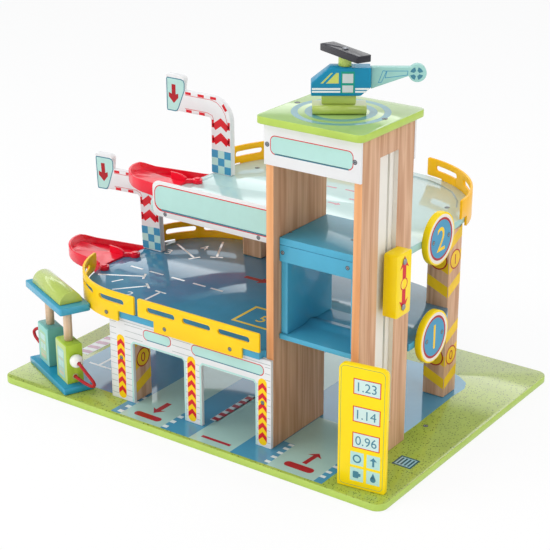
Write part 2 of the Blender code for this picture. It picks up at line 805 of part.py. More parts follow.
def ramp(name, level, deck_top, drop):
    """A channel swept along its route, with an eye beside the deck edge at each wall."""
    route = ramp_route()
    runs, floors = ramp_heights(route, drop)
    half = RAMP_W / 2
    ox = DECK_1_LEFT + RAMP_SHIFT_X * (level - 1)
    oy = RAMP_Y + RAMP_SHIFT_Y * (level - 1)
    points = []
    faces = []
    for s, rise, (turn, outer, inner) in zip(runs, floors, route):
        z = deck_top + rise
        wall = RAMP_WALL_H - 4.0 * max(0.0, 1.0 - s / RAMP_WALL_H)
        skirt = (DECK_T - RAMP_FLOOR_T) * max(0.0, 1.0 - s / RAMP_SKIRT)
        width = (outer - inner).length
        across = (inner - outer) / width
        low = -RAMP_FLOOR_T
        deep = low - skirt - 0.3
        section = [(0.0, deep), (0.0, wall), (RAMP_WALL, wall), (RAMP_WALL, 0.0),
                   (width - RAMP_WALL, 0.0), (width - RAMP_WALL, wall), (width, wall),
                   (width, low), (RAMP_WALL, low), (RAMP_WALL, deep)]
        for n, h in section:
            spot = outer + across * n
            points.append(place(ox + spot.x, oy + spot.y, z + h))
    n = 10
    for k in range(len(route) - 1):
        for i in range(n):
            j = (i + 1) % n
            faces.append((k * n + i, k * n + j, (k + 1) * n + j, (k + 1) * n + i))
    last = (len(route) - 1) * n
    caps = ((0, 1, 2, 3, 8, 9), (3, 4, 7, 8), (4, 5, 6, 7))
    for cap in caps:
        faces.append(tuple(cap))
        faces.append(tuple(last + i for i in reversed(cap)))
    mesh = bpy.data.meshes.new(name)
    mesh.from_pydata([tuple(p) for p in points], [], faces)
    face_out(mesh)
    obj = add(name, mesh, RED)

    base = deck_top + SEAT
    spots = pin_spots(level)
    extras = []
    for (px, py), side in zip(spots, (-1, 1)):
        start = Vector((ox - SEAT - ARM_LAP, oy + side * (half - RAMP_WALL / 2)))
        run = Vector((px, py)) - start
        off = Vector((-run.y, run.x)).normalized() * ARM_W / 2
        strip = [tuple(start - off), tuple(start + run - off), tuple(start + run + off),
                 tuple(start + off)]
        extras.append(plate(strip, [], base, base + EYE_H, flat))
        extras.append(plate(circle(px, py, EYE_R, 24), [], base, base + EYE_H, flat))
    join_shapes(obj, extras, "UNION")
    bores = [plate(circle(px, py, PIN_R + SCREW_PLAY, 12), [], base - 2, base + EYE_H + 2, flat)
             for px, py in spots]
    join_shapes(obj, bores, "DIFFERENCE")
    for (px, py), side in zip(spots, ("front", "back")):
        top = base + EYE_H + SEAT
        foot = deck_top - PIN_DEPTH
        profile = [(0, foot - top), (PIN_R, foot - top), (PIN_R, 0), (PIN_HEAD_R, 0),
                   (PIN_HEAD_R, PIN_HEAD_H * 0.6), (PIN_HEAD_R * 0.8, PIN_HEAD_H), (0, PIN_HEAD_H)]
        pin = add("%s_pin_%s" % (name, side), lathe(profile, 16), RED, smooth=True)
        pin.location = place(px, py, top)


def discs_and_price_sign():
    for name, x, y, z in (("level_disc_1", DECK_1_RIGHT, DISC_1_Y, DECK_1_Z + DECK_T / 2),
                          ("level_disc_2", DECK_2_RIGHT, DISC_2_Y, DECK_2_Z + DECK_T / 2)):
        mesh = plate(circle(y, z, DISC_R, 48), [], x + SEAT, x + SEAT + DISC_T, facing_side)
        add(name, mesh, SUN, smooth=True)
    outline = rounded(0, PRICE_W, FLOOR, FLOOR + PRICE_H, [2.0, 2.0, PRICE_R, PRICE_R])
    sign = add("price_sign", plate(outline, [], 0.0, PRICE_T, own_front), SUN)
    sign.location = place(PRICE_X, PRICE_Y, 0.0)
    sign.rotation_euler = (0, 0, math.radians(PRICE_TURN))


def bump(y):
    """Height of the car stop across the lift's floor."""
    t = (y - BUMP_Y) / BUMP_W
    if t <= 0.0 or t >= 1.0:
        return 0.0
    return BUMP_H * (0.5 - 0.5 * math.cos(2 * math.pi * t))


def lift():
    x0 = TOWER_X + TOWER_WALL + LIFT_PLAY
    x1 = TOWER_RIGHT - TOWER_WALL - LIFT_PLAY
    mid = (x0 + x1) / 2
    car = empty("lift", place(mid, LIFT_Y, LIFT_Z))
    half = (x1 - x0) / 2
    floor_top = LIFT_FLOOR_T
    roof_low = LIFT_H - LIFT_ROOF_T

    profile = [(0, 0), (LIFT_D, 0), (LIFT_D, floor_top)]
    steps = 12
    for i in range(steps, -1, -1):
        y = BUMP_Y + BUMP_W * i / steps
        profile.append((y, floor_top + bump(y)))
    profile.append((0, floor_top))
    add("lift_floor_plate", plate(profile, [], -half, half, own_side), LIFT_BLUE, 0.3, parent=car)
    add("lift_roof_plate", plate(box(-half, half, 0, LIFT_D), [], roof_low, LIFT_H, own_flat),
        LIFT_BLUE, 0.3, parent=car)
    lintel = box(-half, half, roof_low - SEAT - LINTEL_H, roof_low - SEAT)
    add("lift_lintel", plate(lintel, [], 0.0, PLY_T, own_front), LIFT_BLUE, 0.3, parent=car)

    bolt_y = HANDLE_Y - LIFT_Y
    bolt_z = [HANDLE_Z - LIFT_Z + BOLT_EDGE, HANDLE_Z - LIFT_Z + HANDLE_H - BOLT_EDGE]
    holes = [circle(bolt_y, z, BOLT_R + SCREW_PLAY, 16) for z in bolt_z]
    cheek = [(PLY_T + SEAT, floor_top + SEAT), (BUMP_Y, floor_top + SEAT)]
    for i in range(1, steps):
        y = BUMP_Y + BUMP_W * i / steps
        cheek.append((y, floor_top + bump(y) + SEAT))
    cheek += [(BUMP_Y + BUMP_W, floor_top + SEAT), (LIFT_D, floor_top + SEAT)]
    cheek += [(LIFT_D, roof_low - SEAT), (PLY_T + SEAT, roof_low - SEAT)]
    add("lift_left_cheek", plate(cheek, [], -half, -half + LIFT_CHEEK_T, own_side),
        LIFT_BLUE, 0.3, parent=car)
    add("lift_right_cheek", plate(cheek, holes, half - LIFT_CHEEK_T, half, own_side),
        LIFT_BLUE, 0.3, parent=car)

    inner = TOWER_RIGHT + HANDLE_GAP - mid
    low = HANDLE_Z - LIFT_Z
    r = HANDLE_R
    outline = rounded(bolt_y - HANDLE_W / 2, bolt_y + HANDLE_W / 2, low, low + HANDLE_H,
                      [r, r, r, r], 3)
    add("lift_handle", plate(outline, holes, inner, inner + HANDLE_T, own_side), SUN, parent=car)
    reach = inner + HANDLE_T - (half - LIFT_CHEEK_T + 1.0)
    profile = [(0, -reach), (BOLT_R, -reach), (BOLT_R, SEAT), (BOLT_HEAD_R, SEAT),
               (BOLT_HEAD_R, SEAT + BOLT_HEAD_H * 0.5),
               (BOLT_HEAD_R * 0.75, SEAT + BOLT_HEAD_H), (0, SEAT + BOLT_HEAD_H)]
    for side, z in zip(("lower", "upper"), bolt_z):
        bolt = add("lift_bolt_" + side, lathe(profile, 16), STEEL, 0.25, 1.0, car, smooth=True)
        bolt.location = Vector(((inner + HANDLE_T) * MM, bolt_y * MM, z * MM))
        bolt.rotation_euler = (0, math.radians(90), 0)


def helicopter():
    craft = empty("helicopter", place(HELI_X, HELI_Y, ROOF_TOP), HELI_TURN)
    z = SEAT
    r = SKID_R
    section = rounded(-SKID_W / 2, SKID_W / 2, z, z + SKID_H, [r, r, r, r], 5)
    add("helicopter_skids", plate(section, [], -SKID_L / 2, SKID_L / 2, own_side), LEAF,
        parent=craft, smooth=True)
    z += SKID_H + SEAT
    outline = box(BELLY_U, BELLY_U + BELLY_L, z, z + BELLY_H)
    mesh = plate(outline, [], -BELLY_W / 2, BELLY_W / 2, own_front)
    add("helicopter_belly", mesh, LEAF, parent=craft)
    z += BELLY_H + SEAT
    tail_u = BODY_U + BODY_L
    top = z + BODY_H
    outline = [(BODY_U, z), (tail_u - TAIL_CUT_L, z), (tail_u, z + TAIL_CUT_H), (tail_u, top),
               (BODY_U + NOSE_L, top), (BODY_U, z + NOSE_H)]
    mesh = plate(outline, [], -BODY_W / 2, BODY_W / 2, own_front)
    add("helicopter_body", mesh, TEAL, parent=craft)

    u = tail_u + SEAT
    r = BOOM_DISC_R
    disc_u = u + BOOM_L
    disc_z = top - BOOM_DROP - BOOM_DISC_Z
    outline = [(u, top - BOOM_DROP - BOOM_ROOT_H)]
    outline += arc(disc_u, disc_z, r, 197, 498, 24)
    outline += [(u, top - BOOM_DROP)]
    add("helicopter_tail_boom", plate(outline, [], -BOOM_T / 2, BOOM_T / 2, own_front), MINT,
        parent=craft)

    z = top + SEAT
    hub = empty("rotor_axis", Vector((MAST_U * MM, 0, (z + MAST_H + SEAT) * MM)), ROTOR_TURN, craft)
    gap = HUB_R + SCREW_PLAY
    profile = [(0, 0), (MAST_R, 0), (MAST_R, MAST_H), (gap, MAST_H), (gap, MAST_H - HUB_DEPTH),
               (0, MAST_H - HUB_DEPTH)]
    mast = add("helicopter_mast", lathe(profile, 32), LEAF, parent=craft, smooth=True)
    mast.location = Vector((MAST_U * MM, 0, z * MM))
    r = ROTOR_R
    outline = rounded(-ROTOR_L / 2, ROTOR_L / 2, -ROTOR_W / 2, ROTOR_W / 2, [r, r, r, r], 4)
    mesh = plate(outline, [circle(0, 0, gap, 16)], 0.0, ROTOR_T, own_flat)
    add("helicopter_rotor", mesh, DARK, 0.25, parent=hub)
    low = -SEAT - HUB_DEPTH + 1.0
    head = ROTOR_T + SEAT
    profile = [(0, low), (HUB_R, low), (HUB_R, head), (HUB_HEAD_R, head),
               (HUB_HEAD_R, head + HUB_HEAD_H * 0.4),
               (HUB_HEAD_R * 0.6, head + HUB_HEAD_H), (0, head + HUB_HEAD_H)]
    screw = add("helicopter_rotor_screw", lathe(profile, 16), STEEL, 0.2, 1.0, craft, smooth=True)
    screw.location = hub.location


def smooth_route(through, step):
    """Points about one step apart on a smooth curve through the given points."""
    dense = []
    for i in range(len(through) - 1):
        p0 = through[max(i - 1, 0)]
        p1, p2 = through[i], through[i + 1]
        p3 = through[min(i + 2, len(through) - 1)]
        for k in range(24):
            t = k / 24
            dense.append(0.5 * (2 * p1 + (p2 - p0) * t + (2 * p0 - 5 * p1 + 4 * p2 - p3) * t * t
                                + (3 * p1 - p0 - 3 * p2 + p3) * t * t * t))
    dense.append(through[-1])
    lengths = [0.0]
    for a, b in zip(dense, dense[1:]):
        lengths.append(lengths[-1] + (b - a).length)
    count = max(3, round(lengths[-1] / step))
    out = []
    k = 0
    for i in range(count + 1):
        want = lengths[-1] * i / count
        while k < len(lengths) - 2 and lengths[k + 1] < want:
            k += 1
        t = (want - lengths[k]) / (lengths[k + 1] - lengths[k])
        out.append(dense[k].lerp(dense[k + 1], t))
    return out


def cord(name, through, parent):
    curve = bpy.data.curves.new(name, "CURVE")
    curve.dimensions = "3D"
    curve.bevel_depth = HOSE_R * MM
    curve.bevel_resolution = 2
    curve.use_fill_caps = True
    points = smooth_route([Vector(p) for p in through], HOSE_R * 3.2)
    spline = curve.splines.new("POLY")
    spline.points.add(len(points) - 1)
    for target, point in zip(spline.points, points):
        target.co = (*(point * MM), 1.0)
    obj = bpy.data.objects.new(name, curve)
    bpy.context.scene.collection.objects.link(obj)
    curve.materials.append(material(name, CORD_RED, 0.4))
    obj.parent = parent
    return obj


def island():
    frame = empty("island", place(ISLAND_X, ISLAND_Y, BASE_T), ISLAND_TURN)
    l, w = ISLAND_L / 2, ISLAND_W / 2
    slab = rounded(-l, l, -w, w, [ISLAND_R] * 4, 3)
    z = SEAT
    add("island_base", plate(slab, [], z, z + ISLAND_T, own_flat), TEAL, parent=frame)
    z += ISLAND_T + SEAT
    pump_top = z + PUMP_H
    r = PUMP_R
    for side, way, colour in (("near", 1, LEAF), ("far", -1, MINT)):
        end = way * (PUMP_U + PUMP_L / 2)
        section = rounded(-PUMP_W / 2, PUMP_W / 2, z, pump_top, [0, 0, r, r], 4)
        start = way * PUMP_U - PUMP_L / 2
        pump = add("island_pump_" + side, plate(section, [], start, start + PUMP_L, own_side),
                   colour, parent=frame)
        ball_u = end + way * (BALL_R - BALL_SINK)
        into = Matrix.Rotation(math.radians(90 * way), 4, "Y")
        seat = Matrix.Translation(Vector((ball_u, 0, BALL_Z)) * MM) @ into
        socket = []
        grown = BALL_R + SEAT
        for i in range(13):
            a = math.pi * i / 12
            socket.append((grown * math.sin(a) if 0 < i < 12 else 0.0, -grown * math.cos(a)))
        cuts = [moved(lathe(socket, 24), seat)]
        peg_low = -BALL_R - PEG_L
        hole = [(0, peg_low - SEAT), (PEG_R + SEAT, peg_low - SEAT), (PEG_R + SEAT, 0), (0, 0)]
        cuts.append(moved(lathe(hole, 16), seat))
        mouth = Matrix.Translation(Vector((end, 0, HOSE_Z)) * MM) @ into
        hole = [(0, -HOSE_HOLE_DEPTH), (HOSE_R + SEAT, -HOSE_HOLE_DEPTH), (HOSE_R + SEAT, 2), (0, 2)]
        cuts.append(moved(lathe(hole, 16), mouth))
        tools = [moved(cut, frame.matrix_basis) for cut in cuts]
        bpy.context.view_layer.update()
        join_shapes(pump, tools, "DIFFERENCE")

        spot = Vector((way, 0, -0.06)).normalized()
        steps = 14
        peg_a = math.asin(PEG_R / BALL_R)
        arch_points = [(0, peg_low), (PEG_R, peg_low)]
        for i in range(steps + 1):
            a = peg_a + (math.pi - peg_a) * i / steps
            arch_points.append((BALL_R * math.sin(a) if i < steps else 0.0, -BALL_R * math.cos(a)))
        ball = add("nozzle_ball_" + side, moved(lathe(arch_points, 28), into), WHITE,
                   parent=frame, smooth=True)
        ball.location = Vector((ball_u, 0, BALL_Z)) * MM
        bpy.context.view_layer.update()
        centre = Vector((ball_u, 0, BALL_Z))
        turn = spot.to_track_quat("Z", "Y").to_matrix().to_4x4()
        wide = HOSE_R + 3 * SEAT
        floor = BALL_R - BALL_HOLE_DEPTH
        hole = [(0, floor), (wide, floor), (wide, BALL_R + 2), (0, BALL_R + 2)]
        at = Matrix.Translation(centre * MM) @ turn
        tool = moved(moved(lathe(hole, 16), at), frame.matrix_basis)
        join_shapes(ball, [tool], "DIFFERENCE")
        start = centre + spot * (floor + SEAT)
        mouth_out = centre + spot * (BALL_R + HOSE_LEAD)
        if way > 0:
            loop = [(ball_u + 19.0, 3.6, 35.8), (ball_u + 24.0, 8.6, 26.8),
                    (ball_u + 27.7, 12.2, 19.4), (ball_u + 26.0, 12.6, 14.9),
                    (ball_u + 21.0, 10.8, 12.9), (ball_u + 12.5, 6.4, 14.4), (ball_u + 4.8, 1.2, 18.3)]
        else:
            loop = [(ball_u - 20.0, -3.6, 42.3), (ball_u - 24.0, -6.0, 38.0), (ball_u - 24.0, -6.2, 33.0),
                    (ball_u - 20.5, -5.5, 29.3), (ball_u - 15.5, -4.5, 26.5),
                    (ball_u - 8.5, -3.0, 23.0), (ball_u - 1.5, -0.8, 19.8)]
        finish = [(end + way * 3.0, 0.0, HOSE_Z), (end - way * (HOSE_HOLE_DEPTH - SEAT), 0.0, HOSE_Z)]
        cord("hose_" + side, [start, mouth_out] + loop + finish, frame)

        dowel_z = pump_top + SEAT
        profile = [(0, 0), (DOWEL_R, 0), (DOWEL_R, DOWEL_H), (0, DOWEL_H)]
        dowel = add("island_dowel_" + side, lathe(profile, 24), WOOD, 0.5, parent=frame, smooth=True)
        dowel.location = Vector((way * PUMP_U, 0, dowel_z)) * MM

    z = pump_top + SEAT + DOWEL_H + SEAT
    shade = rounded(-l, l, -w, w, [CANOPY_R] * 4, 3)
    add("island_canopy", plate(shade, [], z, z + CANOPY_T, own_flat), LIFT_BLUE, parent=frame)
    z += CANOPY_T + SEAT
    section = arc(0, z, CANOPY_TOP_R, 0, 180, 18)
    mesh = plate(section, [], -CANOPY_TOP_L / 2, CANOPY_TOP_L / 2, own_side)
    add("island_canopy_top", mesh, LEAF, parent=frame, smooth=True)


def build():
    clear_scene()
    base_board()
    tower()
    arch_panel()
    decks()
    posts()
    fences()
    exit_sign("exit_sign_1", SIGN_1_X, SIGN_1_Y, DECK_1_TOP, SIGN_1_LEAN)
    exit_sign("exit_sign_2", SIGN_2_X, SIGN_2_Y, DECK_2_TOP)
    ramp("ramp_1", 1, DECK_1_TOP, DECK_1_TOP - BASE_T)
    ramp("ramp_2", 2, DECK_2_TOP, DECK_2_TOP - DECK_1_TOP)
    discs_and_price_sign()
    lift()
    helicopter()
    island()


build()
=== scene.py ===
"""A wooden toy garage: printed and lacquered boards, pine walls and posts, plastic
ramps, a lift, a helicopter and a petrol island with two hoses.

Places are in millimetres from the front left corner of the base board, heights
from its underside, unless a comment says otherwise.
"""

import math

import bmesh
import bpy
import numpy as np
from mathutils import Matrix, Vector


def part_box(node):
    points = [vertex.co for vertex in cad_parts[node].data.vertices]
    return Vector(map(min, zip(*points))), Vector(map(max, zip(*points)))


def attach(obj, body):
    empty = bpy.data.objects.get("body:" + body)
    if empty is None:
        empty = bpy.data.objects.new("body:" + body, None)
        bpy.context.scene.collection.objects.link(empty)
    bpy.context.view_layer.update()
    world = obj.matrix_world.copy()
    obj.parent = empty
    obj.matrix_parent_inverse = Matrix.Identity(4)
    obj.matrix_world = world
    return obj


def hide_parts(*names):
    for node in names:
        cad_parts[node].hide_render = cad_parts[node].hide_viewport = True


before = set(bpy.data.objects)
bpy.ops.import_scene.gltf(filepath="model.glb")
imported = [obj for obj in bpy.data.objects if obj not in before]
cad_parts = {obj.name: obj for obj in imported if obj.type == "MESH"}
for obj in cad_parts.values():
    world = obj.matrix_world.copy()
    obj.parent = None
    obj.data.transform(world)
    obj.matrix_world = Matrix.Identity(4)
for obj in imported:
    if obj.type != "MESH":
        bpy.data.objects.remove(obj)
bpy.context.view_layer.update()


# Camera. A long lens at the front right corner, looking down a little.
lens = bpy.data.cameras.new("camera")
lens.sensor_width = 36.0
lens.lens = 98.58
camera = bpy.data.objects.new("camera", lens)
camera.location = (1.08377, -1.52996, 0.90894)
camera.rotation_euler = (math.radians(68.14), 0.0, math.radians(35.35))
bpy.context.scene.collection.objects.link(camera)
bpy.context.scene.camera = camera
bpy.context.scene.view_settings.view_transform = "Standard"


# Pump hoses. Two short red cords of the petrol island, 4.5 mm thick. Each leaves a
# hole in its white ball and goes back into a hole low in the end of its pump.
BASE_CENTRE = (305.0, 220.0, 0.0)
BASE_TOP = 9.65
HOSE_R = 2.25
HOSE_LEAD = 4.5
BALL_R = 9.2
BALL_SINK = 2.8
BALL_HOLE = 3.0
BALL_Z = 44.0
PUMP_U = 31.6
PUMP_L = 35.0
PUMP_LEAD = 3.0
HOSE_Z = 19.0
HOLE_DEPTH = 5.0
SEAT = 0.3
FINE_STEP = 0.6
RIB_LENGTH = 12.0
ISLAND = (67.197, 46.597, BASE_TOP)
ISLAND_TURN = math.radians(-24.3)


def metres(points):
    """Object metres for places in millimetres: less the base's centre, / 1000."""
    return (np.asarray(points, float) - BASE_CENTRE) * 0.001


def millimetres(place):
    """The other way round, for a corner that the frame gives."""
    return np.array(place) * 1000 + BASE_CENTRE


def turned(points, origin, turn):
    """Own places of a turned group, in millimetres: origin + R(turn) p."""
    points = np.asarray(points, float)
    c, s = math.cos(turn), math.sin(turn)
    spin = np.array(((c, -s, 0.0), (s, c, 0.0), (0.0, 0.0, 1.0)))
    return points @ spin.T + origin


def smooth_route(through, step):
    """Catmull-Rom curve through the points, 24 places a span, then read off again
    at even distances about one step apart."""
    p = np.asarray(through, float)
    padded = np.vstack((p[:1], p, p[-1:]))
    t = (np.arange(24) / 24.0)[None, :, None]
    p0, p1, p2, p3 = (padded[i:i + len(p) - 1][:, None, :] for i in range(4))
    dense = 0.5 * (2 * p1 + (p2 - p0) * t + (2 * p0 - 5 * p1 + 4 * p2 - p3) * t ** 2
                   + (3 * p1 - p0 - 3 * p2 + p3) * t ** 3)
    dense = np.vstack((dense.reshape(-1, 3), p[-1:]))
    run = np.concatenate(([0.0], np.cumsum(np.linalg.norm(np.diff(dense, axis=0), axis=1))))
    want = np.linspace(0.0, run[-1], max(3, round(run[-1] / step)) + 1)
    return np.column_stack([np.interp(want, run, dense[:, i]) for i in range(3)])


def grid_mesh(name, surface, wrap, caps):
    """A mesh of the grid surface[i, j]: quads between neighbours, the second
    direction closed on itself when wrap is true, both ends capped when caps is."""
    rows, cols = surface.shape[:2]
    index = np.arange(rows * cols).reshape(rows, cols)
    here, there = index, np.roll(index, -1, axis=1)
    if not wrap:
        here, there = index[:, :-1], index[:, 1:]
    quads = np.stack((here[:-1], there[:-1], there[1:], here[1:]), axis=-1).reshape(-1, 4)
    faces = quads.tolist()
    if caps:
        faces += [index[0, ::-1].tolist(), index[-1].tolist()]
    mesh = bpy.data.meshes.new(name)
    mesh.from_pydata(surface.reshape(-1, 3).tolist(), [], faces)
    tidy = bmesh.new()
    tidy.from_mesh(mesh)
    bmesh.ops.remove_doubles(tidy, verts=tidy.verts[:], dist=1e-7)
    bmesh.ops.recalc_face_normals(tidy, faces=tidy.faces[:])
    tidy.to_mesh(mesh)
    tidy.free()
    return mesh


def shown(name, mesh, finish, slot, body, *nodes):
    """An object of the mesh that rides on a body and stands for the named nodes."""
    piece = bpy.data.objects.new(name, mesh)
    bpy.context.scene.collection.objects.link(piece)
    for layer in (finish if isinstance(finish, list) else [finish]):
        piece.data.materials.append(layer)
    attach(piece, body)
    if nodes:
        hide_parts(*nodes)
    return piece


def colour(red, green, blue):
    """Linear colour of a screen colour given 0 to 255."""
    c = np.array((red, green, blue)) / 255.0
    linear = np.where(c <= 0.04045, c / 12.92, ((c + 0.055) / 1.055) ** 2.4)
    return (*linear.tolist(), 1.0)


def feed(tree, socket, value):
    """Give a socket another node's output, or else a constant."""
    if isinstance(value, bpy.types.NodeSocket):
        tree.links.new(value, socket)
    else:
        socket.default_value = value


def wired(tree, node, **sockets):
    """The node with its sockets fed by name."""
    for label, value in sockets.items():
        feed(tree, node.inputs[label.replace("_", " ")], value)
    return node


def added(tree, kind, **sockets):
    """A new shader node of a kind, with its sockets fed."""
    return wired(tree, tree.nodes.new("ShaderNode" + kind), **sockets)


def blank_finish(name, **sockets):
    """A new material with its shader's sockets set, its node tree and that shader."""
    made = bpy.data.materials.new(name)
    made.use_nodes = True
    tree = made.node_tree
    return made, tree, wired(tree, tree.nodes["Principled BSDF"], **sockets)


def toned(tree, source, low, high, first, last):
    """The colour that runs from first to last while the source runs from low to high."""
    node = added(tree, "ValToRGB", Fac=source)
    for stop, place, tone in zip(node.color_ramp.elements, (low, high), (first, last)):
        stop.position = place
        stop.color = tone
    return node.outputs["Color"]


def cord_sheath():
    """Rubbery red sheath with a faint ribbing along its length. Its red is paler on the
    ribs' crests and darker in their grooves: painted highlight and shade of the ribbing.
    """
    made, tree, shader = blank_finish("cord_sheath", Roughness=0.42, Specular_IOR_Level=0.45)
    wave = added(tree, "TexWave", Scale=22.0, Distortion=0.4,
                 Vector=added(tree, "UVMap").outputs["UV"])
    wave.wave_type = "BANDS"
    wave.bands_direction = "DIAGONAL"
    ribs = wave.outputs["Fac"]
    bump = added(tree, "Bump", Strength=0.35, Distance=0.0002, Height=ribs)
    # The colour follows the ribs: paler on their crests and darker in their grooves, painted highlight
    # and shade.
    wired(tree, shader, Base_Color=toned(tree, ribs, 0.0, 1.0, colour(158, 8, 24), colour(212, 20, 38)),
          Normal=bump.outputs["Normal"])
    return made


def hose(name, way, middle):
    """Tube of radius r round the route: route(s) + r (cos a side + sin a up), where
    side is the tangent crossed with a fixed direction that it never meets."""
    end = way * (PUMP_U + PUMP_L / 2)
    ball_u = end + way * (BALL_R - BALL_SINK)
    spot = np.array((way, 0.0, -0.06)) / math.hypot(1.0, 0.06)
    centre = np.array((ball_u, 0.0, BALL_Z))
    through = [centre + spot * (BALL_R - BALL_HOLE + SEAT), centre + spot * (BALL_R + HOSE_LEAD)]
    through += [np.array((ball_u + way * u, v, z)) for u, v, z in middle]
    through += [np.array((end + way * PUMP_LEAD, 0.0, HOSE_Z)),
                np.array((end - way * (HOLE_DEPTH - SEAT), 0.0, HOSE_Z))]
    route = smooth_route(through, HOSE_R * 3.2)
    fine = metres(turned(smooth_route(route, FINE_STEP), ISLAND, ISLAND_TURN))
    tangent = np.gradient(fine, axis=0)
    tangent /= np.linalg.norm(tangent, axis=1)[:, None]
    tries = np.array(((0, 0, 1), (0, 1, 0), (1, 0, 0), (1, 1, 0), (1, -1, 0), (1, 0, 1)), float)
    tries /= np.linalg.norm(tries, axis=1)[:, None]
    fixed = tries[np.argmin(np.abs(tangent @ tries.T).max(axis=0))]
    side = np.cross(tangent, fixed)
    side /= np.linalg.norm(side, axis=1)[:, None]
    up = np.cross(tangent, side)
    around = np.linspace(0.0, 2 * math.pi, 20, endpoint=False)[None, :, None]
    surface = fine[:, None] + HOSE_R * 0.001 * (np.cos(around) * side[:, None]
                                                + np.sin(around) * up[:, None])
    mesh = grid_mesh(name, surface, True, True)
    mesh.shade_smooth()
    layer = mesh.uv_layers.new(name="UVMap")
    corner = np.empty(len(mesh.loops), int)
    mesh.loops.foreach_get("vertex_index", corner)
    spread = np.array([v.co[:] for v in mesh.vertices])
    near = np.argmin(((spread[:, None] - fine[None, ::4]) ** 2).sum(axis=2), axis=1) * 4
    angle = np.arctan2(((spread - fine[near]) * up[near]).sum(1),
                       ((spread - fine[near]) * side[near]).sum(1)) / (2 * math.pi)
    uv = np.column_stack((angle, near * FINE_STEP / RIB_LENGTH))[corner]
    layer.data.foreach_set("uv", uv.astype(np.float32).ravel())
    piece = shown(name, mesh, sheath, "red_cord", "petrol_island", name.replace("_cord", ""))


sheath = cord_sheath()
hose("hose_near_cord", 1, [(19.0, 3.6, 35.8), (24.0, 8.6, 26.8), (27.7, 12.2, 19.4),
                           (26.0, 12.6, 14.9), (21.0, 10.8, 12.9), (12.5, 6.4, 14.4),
                           (4.8, 1.2, 18.3)])
hose("hose_far_cord", -1, [(20.0, -3.6, 42.3), (24.0, -6.0, 38.0), (24.0, -6.2, 33.0),
                           (20.5, -5.5, 29.3), (15.5, -4.5, 26.5), (8.5, -3.0, 23.0),
                           (1.5, -0.8, 19.8)])


# Floor, room and lamps. White paper that glows a little for the camera, a bright
# horizon, a brighter band low behind that the glossy boards mirror, a dimmer ceiling,
# and lamps from the front left, the right and above.
def worked(tree, operation, *values):
    """The outcome of a Math node whose sockets are fed in order."""
    node = added(tree, "Math")
    node.operation = operation
    for socket, value in zip(node.inputs, values):
        feed(tree, socket, value)
    return node.outputs["Value"]


def paper(glow):
    """Matt white paper with a trace of tooth, mixed with its own light by glow for
    the camera, for mirrored and for passing rays, so that it stays white."""
    made, tree, shader = blank_finish("paper", Base_Color=(0.95, 0.95, 0.95, 1.0), Roughness=0.9,
                                      Specular_IOR_Level=0.1)
    tooth = added(tree, "TexNoise", Scale=900.0, Vector=added(tree, "TexCoord").outputs["Object"])
    bump = added(tree, "Bump", Strength=0.03, Distance=0.0002, Height=tooth.outputs["Fac"])
    wired(tree, shader, Normal=bump.outputs["Normal"])
    ray = added(tree, "LightPath").outputs
    seen = worked(tree, "ADD", ray["Is Camera Ray"], ray["Is Glossy Ray"])
    seen = worked(tree, "ADD", seen, ray["Is Transmission Ray"])
    both = added(tree, "MixShader", Fac=worked(tree, "MULTIPLY", seen, glow))
    feed(tree, both.inputs[1], shader.outputs["BSDF"])
    feed(tree, both.inputs[2], added(tree, "Emission", Strength=1.0).outputs["Emission"])
    wired(tree, tree.nodes["Material Output"], Surface=both.outputs["Shader"])
    return made


FLOOR_R = 9.0
FLOOR_Z = -0.0002
around = np.linspace(0.0, 2 * math.pi, 96, endpoint=False)
rim = np.column_stack((FLOOR_R * np.cos(around), FLOOR_R * np.sin(around), np.full(96, FLOOR_Z)))
floor_mesh = bpy.data.meshes.new("floor")
floor_mesh.from_pydata(rim.tolist(), [], [list(range(96))])
floor = bpy.data.objects.new("floor", floor_mesh)
floor.data.materials.append(paper(0.85))
bpy.context.scene.collection.objects.link(floor)

room = bpy.data.worlds.new("room")
bpy.context.scene.world = room
room.use_nodes = True
tree = room.node_tree
way = added(tree, "TexCoord").outputs["Generated"]
height = added(tree, "SeparateXYZ", Vector=way).outputs["Z"]
shade = toned(tree, height, 0.36, 0.52, (1.0, 1.0, 1.0, 1.0), (0.42, 0.43, 0.45, 1.0))
behind = added(tree, "VectorMath")
behind.operation = "DOT_PRODUCT"
feed(tree, behind.inputs[0], way)
feed(tree, behind.inputs[1], (-0.578, 0.816, 0.0))
edges = [added(tree, "MapRange", Value=source, From_Min=start, From_Max=full).outputs["Result"]
         for source, start, full in ((height, 0.342, 0.364), (height, 0.53, 0.49),
                                     (behind.outputs["Value"], 0.30, 0.60))]
glow = worked(tree, "MULTIPLY", worked(tree, "MULTIPLY", edges[0], edges[1]), edges[2])
wired(tree, tree.nodes["Background"], Color=shade, Strength=worked(tree, "MULTIPLY_ADD", glow, 2.0, 1.0))


def lamp(name, place, aim, width, height, watts):
    """A rectangular lamp at a place in metres, turned to its aim."""
    light = bpy.data.lights.new(name, "AREA")
    light.shape = "RECTANGLE"
    light.size = width
    light.size_y = height
    light.energy = watts
    held = bpy.data.objects.new(name, light)
    from_aim = np.subtract(place, aim)
    held.location = place
    flat = math.hypot(from_aim[0], from_aim[1])
    held.rotation_euler = (math.atan2(flat, from_aim[2]), 0.0,
                           math.atan2(from_aim[1], from_aim[0]) + math.pi / 2)
    held.visible_camera = False
    bpy.context.scene.collection.objects.link(held)


lamp("key_lamp", (-1.6, -1.7, 2.6), (0.0, 0.0, 0.15), 1.8, 1.8, 27.0)
lamp("front_lamp", (-0.5, -2.6, 0.9), (0.0, 0.0, 0.15), 1.6, 1.2, 10.0)
lamp("right_lamp", (2.4, 0.2, 1.8), (0.0, 0.0, 0.2), 1.4, 1.4, 13.0)
lamp("top_lamp", (0.1, 0.2, 3.2), (0.0, 0.0, 0.0), 2.4, 2.4, 27.0)


